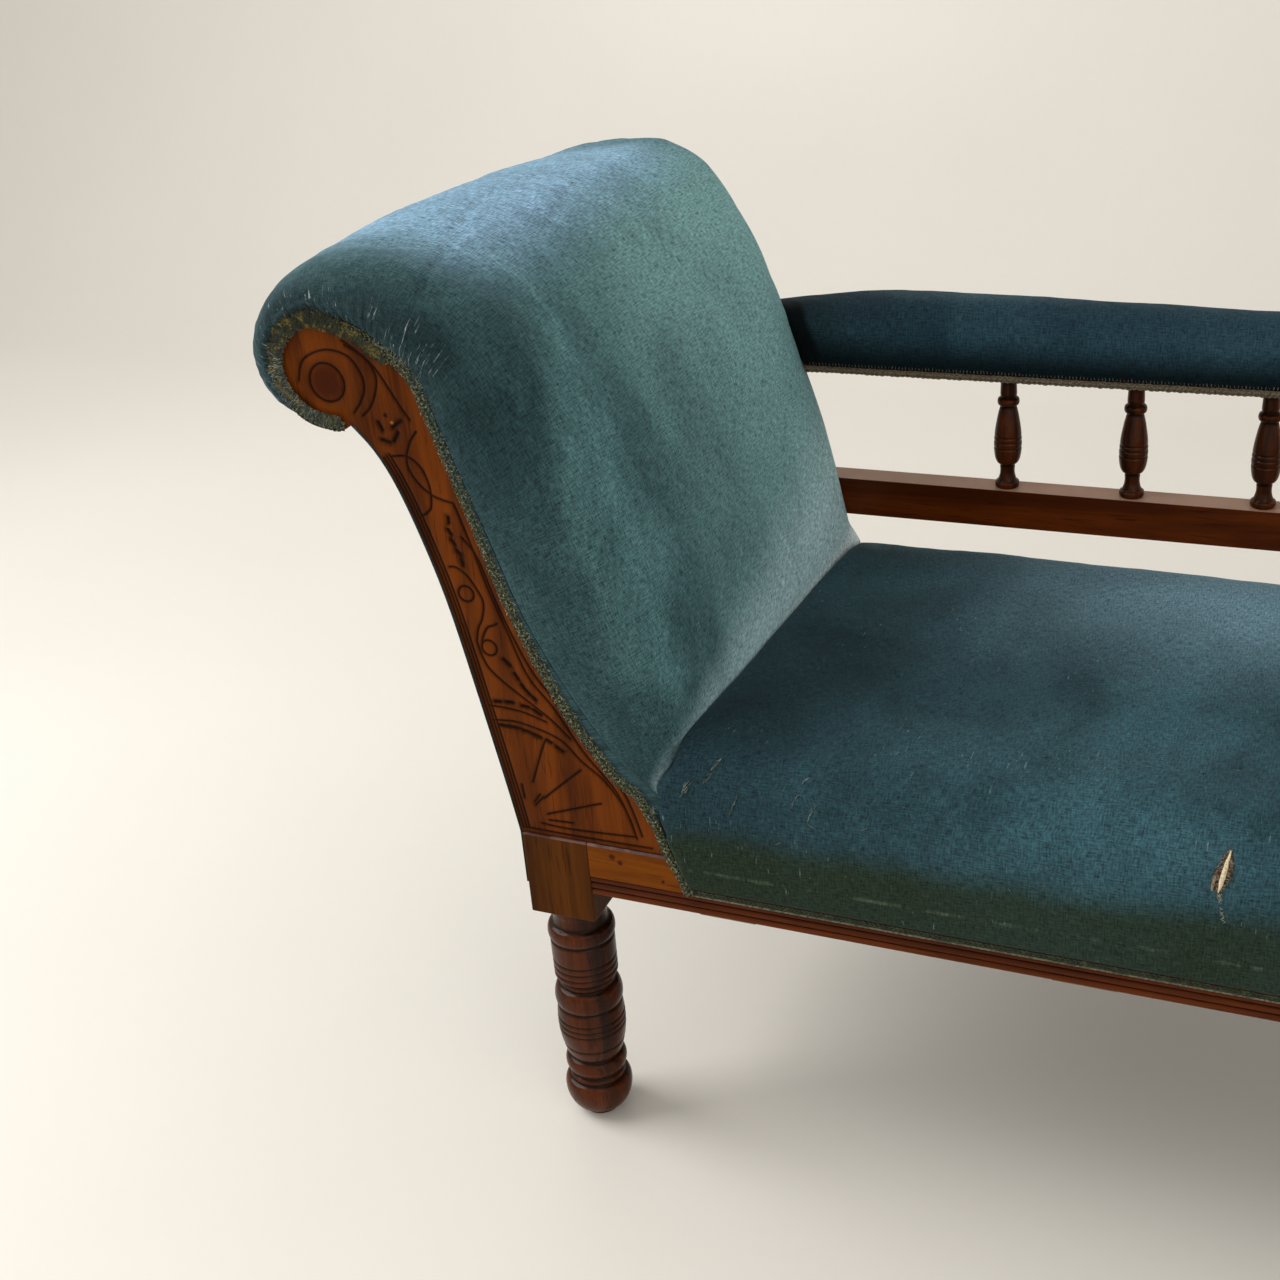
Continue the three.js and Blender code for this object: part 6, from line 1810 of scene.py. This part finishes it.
def makeDustCover():
    low, high = boxOf("dust_cover")
    low, high = low + dustCloth["inset"], high - dustCloth["inset"]
    xs, ys = np.linspace(low[0], high[0], dustCloth["columns"]), np.linspace(low[1], high[1], dustCloth["rows"])
    z = (low[2] + high[2]) / 2
    notch = blockHalf + fitGap
    keep = np.array([[not any(abs(x - cx) < notch and abs(y - cy) < notch for cx, cy in corners.values())
                      for y in (ys[:-1] + ys[1:]) / 2] for x in (xs[:-1] + xs[1:]) / 2])
    grid = np.array([[(x, y, z) for y in ys] for x in xs]).reshape(-1, 3)
    edge = np.minimum(np.minimum(grid[:, 0] - low[0], high[0] - grid[:, 0]),
                      np.minimum(grid[:, 1] - low[1], high[1] - grid[:, 1]))
    unrest = 0.5 * lumps(grid * (1, 0.4, 1), 60, 43) * step(20, 60, edge)
    grid[:, 2] -= dustCloth["sag"] * step(20, 160, edge) + unrest
    columns = len(ys)
    faces = [(i * columns + j, i * columns + j + 1, (i + 1) * columns + j + 1, (i + 1) * columns + j)
             for i in range(len(xs) - 1) for j in range(columns - 1) if keep[i, j]]
    piece = meshPiece("bottoming_cloth", grid, faces)
    stray = bmesh.new()
    stray.from_mesh(piece.data)
    bmesh.ops.delete(stray, geom=[v for v in stray.verts if not v.link_faces], context="VERTS")
    stray.to_mesh(piece.data)
    stray.free()
    dressed(thickened(piece, dustCloth["thickness"]), "black_cloth", blackCloth, "dust_cover")
    size = (high - low) * mm
    size[0] * size[1] * keep.mean()


makeDustCover()
print("couch: cloths hung")


# Webbing: straps that pass over and under each other
webbing = {"width": 50.0, "thickness": 1.3, "lift": 0.75, "along": 9, "across": 4, "step": 8.0, "sunk": 2.2,
           "headFrom": 5 / 40, "headTo": 24 / 40, "headPitch": 95.0}


def spacedMiddles(low, high, count, width):
    gap = (high - low - count * width) / (count + 1)
    return [low + gap + width / 2 + k * (width + gap) for k in range(count)]


def wovenStraps(name, lines, crossings, node):
    shells = []
    for path, across, outward, phase, pitch in lines:
        lengths = lengthsAlong(path)
        rise = webbing["lift"] * np.cos(math.pi * (lengths - crossings) / pitch + phase)
        shells.append(ribbonShell(path + outward * rise[:, None], across, outward, webbing["width"],
                                  webbing["thickness"]))
    dressed(meshPiece(name, *joinedShells(shells)), "jute_webbing", juteCloth, node)


def makeSeatWebbing():
    low, high = boxOf("seat_webbing")
    z = high[2] - webbing["sunk"]
    xs = spacedMiddles(blockHalf, legSpanLength - blockHalf, webbing["along"], webbing["width"])
    ys = spacedMiddles(blockHalf, legSpanDepth - blockHalf, webbing["across"], webbing["width"])
    lines = []
    for k, y in enumerate(ys):
        path = np.array([(x, y, z) for x in np.arange(low[0], high[0], webbing["step"])])
        lines.append((path, (0, 1, 0), (0, 0, 1), math.pi * k, xs[1] - xs[0]))
    for k, x in enumerate(xs):
        path = np.array([(x, y, z) for y in np.arange(low[1], high[1], webbing["step"])])
        lines.append((path, (-1, 0, 0), (0, 0, 1), math.pi * (k + 1), ys[1] - ys[0]))
    wovenStraps("seat_webbing_woven", lines, xs[0] - low[0], "seat_webbing")


def makeHeadWebbing():
    shares = sharesAtSpacing(edgePlaces, webbing["headFrom"], webbing["headTo"], 6.0)
    line = offsetLine(edgePlaces, shares, -webbing["sunk"])
    sideways = sidewaysOf(line)
    outward = np.stack((sideways[:, 0], np.zeros(len(line)), sideways[:, 1]), axis=1)
    inner, outer = panelInner + fitGap, legSpanDepth - panelInner - fitGap
    lines = []
    ys = spacedMiddles(inner, outer, webbing["across"], webbing["width"])
    for k, y in enumerate(ys):
        path = np.stack((line[:, 0], np.full(len(line), y), line[:, 1]), axis=1)
        lines.append((path, (0, 1, 0), outward, math.pi * k, webbing["headPitch"]))
    along = np.stack((-outward[:, 2], np.zeros(len(line)), outward[:, 0]), axis=1)
    for k, station in enumerate(np.linspace(0.14, 0.86, 4)):
        place = int(station * (len(line) - 1))
        path = np.array([(line[place, 0], y, line[place, 1]) for y in np.arange(inner, outer, webbing["step"])])
        lines.append((path, along[place], outward[place], math.pi * (k + 1), ys[1] - ys[0]))
    wovenStraps("head_webbing_woven", lines, ys[0] - inner, "head_webbing")


makeSeatWebbing()
makeHeadWebbing()


# Hourglass springs, tied across their tops by a twine
springShape = {"width": 84.0, "waist": 52.0, "turns": 4, "wire": 2.0, "height": 76.0, "columns": 6, "rows": 3}


def makeSprings():
    shape = springShape
    base = railBottom + fitGap + shape["wire"]
    t = np.linspace(0, 1, 30 * shape["turns"])
    radius = (shape["width"] - (shape["width"] - shape["waist"]) * np.sin(math.pi * t)) / 2 - shape["wire"]
    angle = 2 * math.pi * shape["turns"] * t
    rise = shape["height"] - 2 * shape["wire"]
    coil = np.stack((radius * np.cos(angle), radius * np.sin(angle), rise * t), axis=1)
    xs = spacedMiddles(headShape["foot"], footFace - railThickness, shape["columns"], shape["width"])
    ys = spacedMiddles(frontFace + railThickness, backFace - railThickness, shape["rows"], shape["width"])
    for y, row in zip(ys, ("front", "middle", "back")):
        scattered("spring_steel", "springs_" + row, [(x, y, base) for x in xs], (1, 0, 0), (0, 0, 1),
                  tubeShell(coil, shape["wire"], 6), springSteel, "spring_row_" + row)
        path = np.array([(x, y, base + rise) for x in np.arange(xs[0], xs[-1] + shape["width"] / 2, 6.0)])
        dressed(meshPiece("lashing_" + row, *tubeShell(path, 1.4, 6)), "jute_webbing", juteCloth)


makeSprings()
print("couch: webbing and springs in")


# Room: pale floor that rises into a pale wall, a soft key light from the left and a wide fill
roomShape = {"half": 4.5, "wallAt": 2.6, "bend": 0.9, "height": 3.2}


def makeRoom():
    bend, wall = roomShape["bend"], roomShape["wallAt"]
    angles = np.linspace(0, math.pi / 2, 14)
    rising = [(wall - bend + bend * math.sin(a), bend - bend * math.cos(a)) for a in angles]
    line = [(-roomShape["half"], 0.0), *rising, (wall, roomShape["height"])]
    mesh = bpy.data.meshes.new("room")
    verts = [(x, y, z) for y, z in line for x in (-roomShape["half"], roomShape["half"])]
    mesh.from_pydata(verts, [], [(2 * k, 2 * k + 1, 2 * k + 3, 2 * k + 2) for k in range(len(line) - 1)])
    mesh.shade_smooth()
    paint = Paint("pale floor paint")
    stain = paint.noise(paint.place, 1.4, 4.0, 0.5)
    speck = paint.noise(paint.place, 60.0, 3.0, 0.6)
    colour = paint.mix(paint.clamp(stain * 0.8 + speck * 0.2), tint(232, 229, 223), tint(242, 239, 234))
    mesh.materials.append(paint.finish(colour, paint.clamp(0.42 + (stain - 0.5) * 0.2), speck, 0.0005, 0.2))
    linked("room", mesh)


def areaLight(name, place, target, size, power, colour):
    light = bpy.data.lights.new(name, "AREA")
    light.shape = "RECTANGLE"
    light.size, light.size_y = size
    light.energy = power
    light.color = colour
    lamp = linked(name, light)
    lamp.location = place
    lamp.rotation_euler = (Vector(target) - Vector(place)).to_track_quat("-Z", "Y").to_euler()


makeRoom()
areaLight("window light", (-2.6, -0.6, 2.3), (-0.1, 0.0, 0.5), (1.8, 1.8), 58, (1.0, 0.98, 0.95))
areaLight("soft fill", (1.6, -2.8, 2.2), (0.2, 0.0, 0.4), (2.4, 1.8), 14, (1.0, 0.97, 0.93))
scene.view_settings.view_transform = "Standard"
world = bpy.data.worlds.new("soft room")
world.use_nodes = True
sky = world.node_tree.nodes["Background"].inputs
sky["Color"].default_value = tint(238, 234, 226)
sky["Strength"].default_value = 0.74
scene.world = world


# Camera at the place found from the photograph's vanishing points, in millimetres as above
cameraShape = {
    "place": (627.909, -1134.569, 1148.151), "focalPixels": 1740.413, "imagePixels": 1280, "sensor": 36.0,
    "right": (0.91584, 0.39333, -0.08053), "down": (0.11319, -0.44541, -0.88814),
    "ahead": (-0.38519, 0.80430, -0.45246),
}


def makeCamera():
    camera = bpy.data.cameras.new("view of the couch")
    camera.sensor_width = cameraShape["sensor"]
    camera.lens = cameraShape["focalPixels"] / cameraShape["imagePixels"] * cameraShape["sensor"]
    camera.clip_end = 50
    eye = linked("view of the couch", camera)
    right, down, ahead = (Vector(cameraShape[key]) for key in ("right", "down", "ahead"))
    turn = Matrix((right, -down, -ahead)).transposed()
    eye.matrix_world = Matrix.Translation(start + np.array(cameraShape["place"]) * mm) @ turn.to_4x4()
    scene.camera = eye


makeCamera()
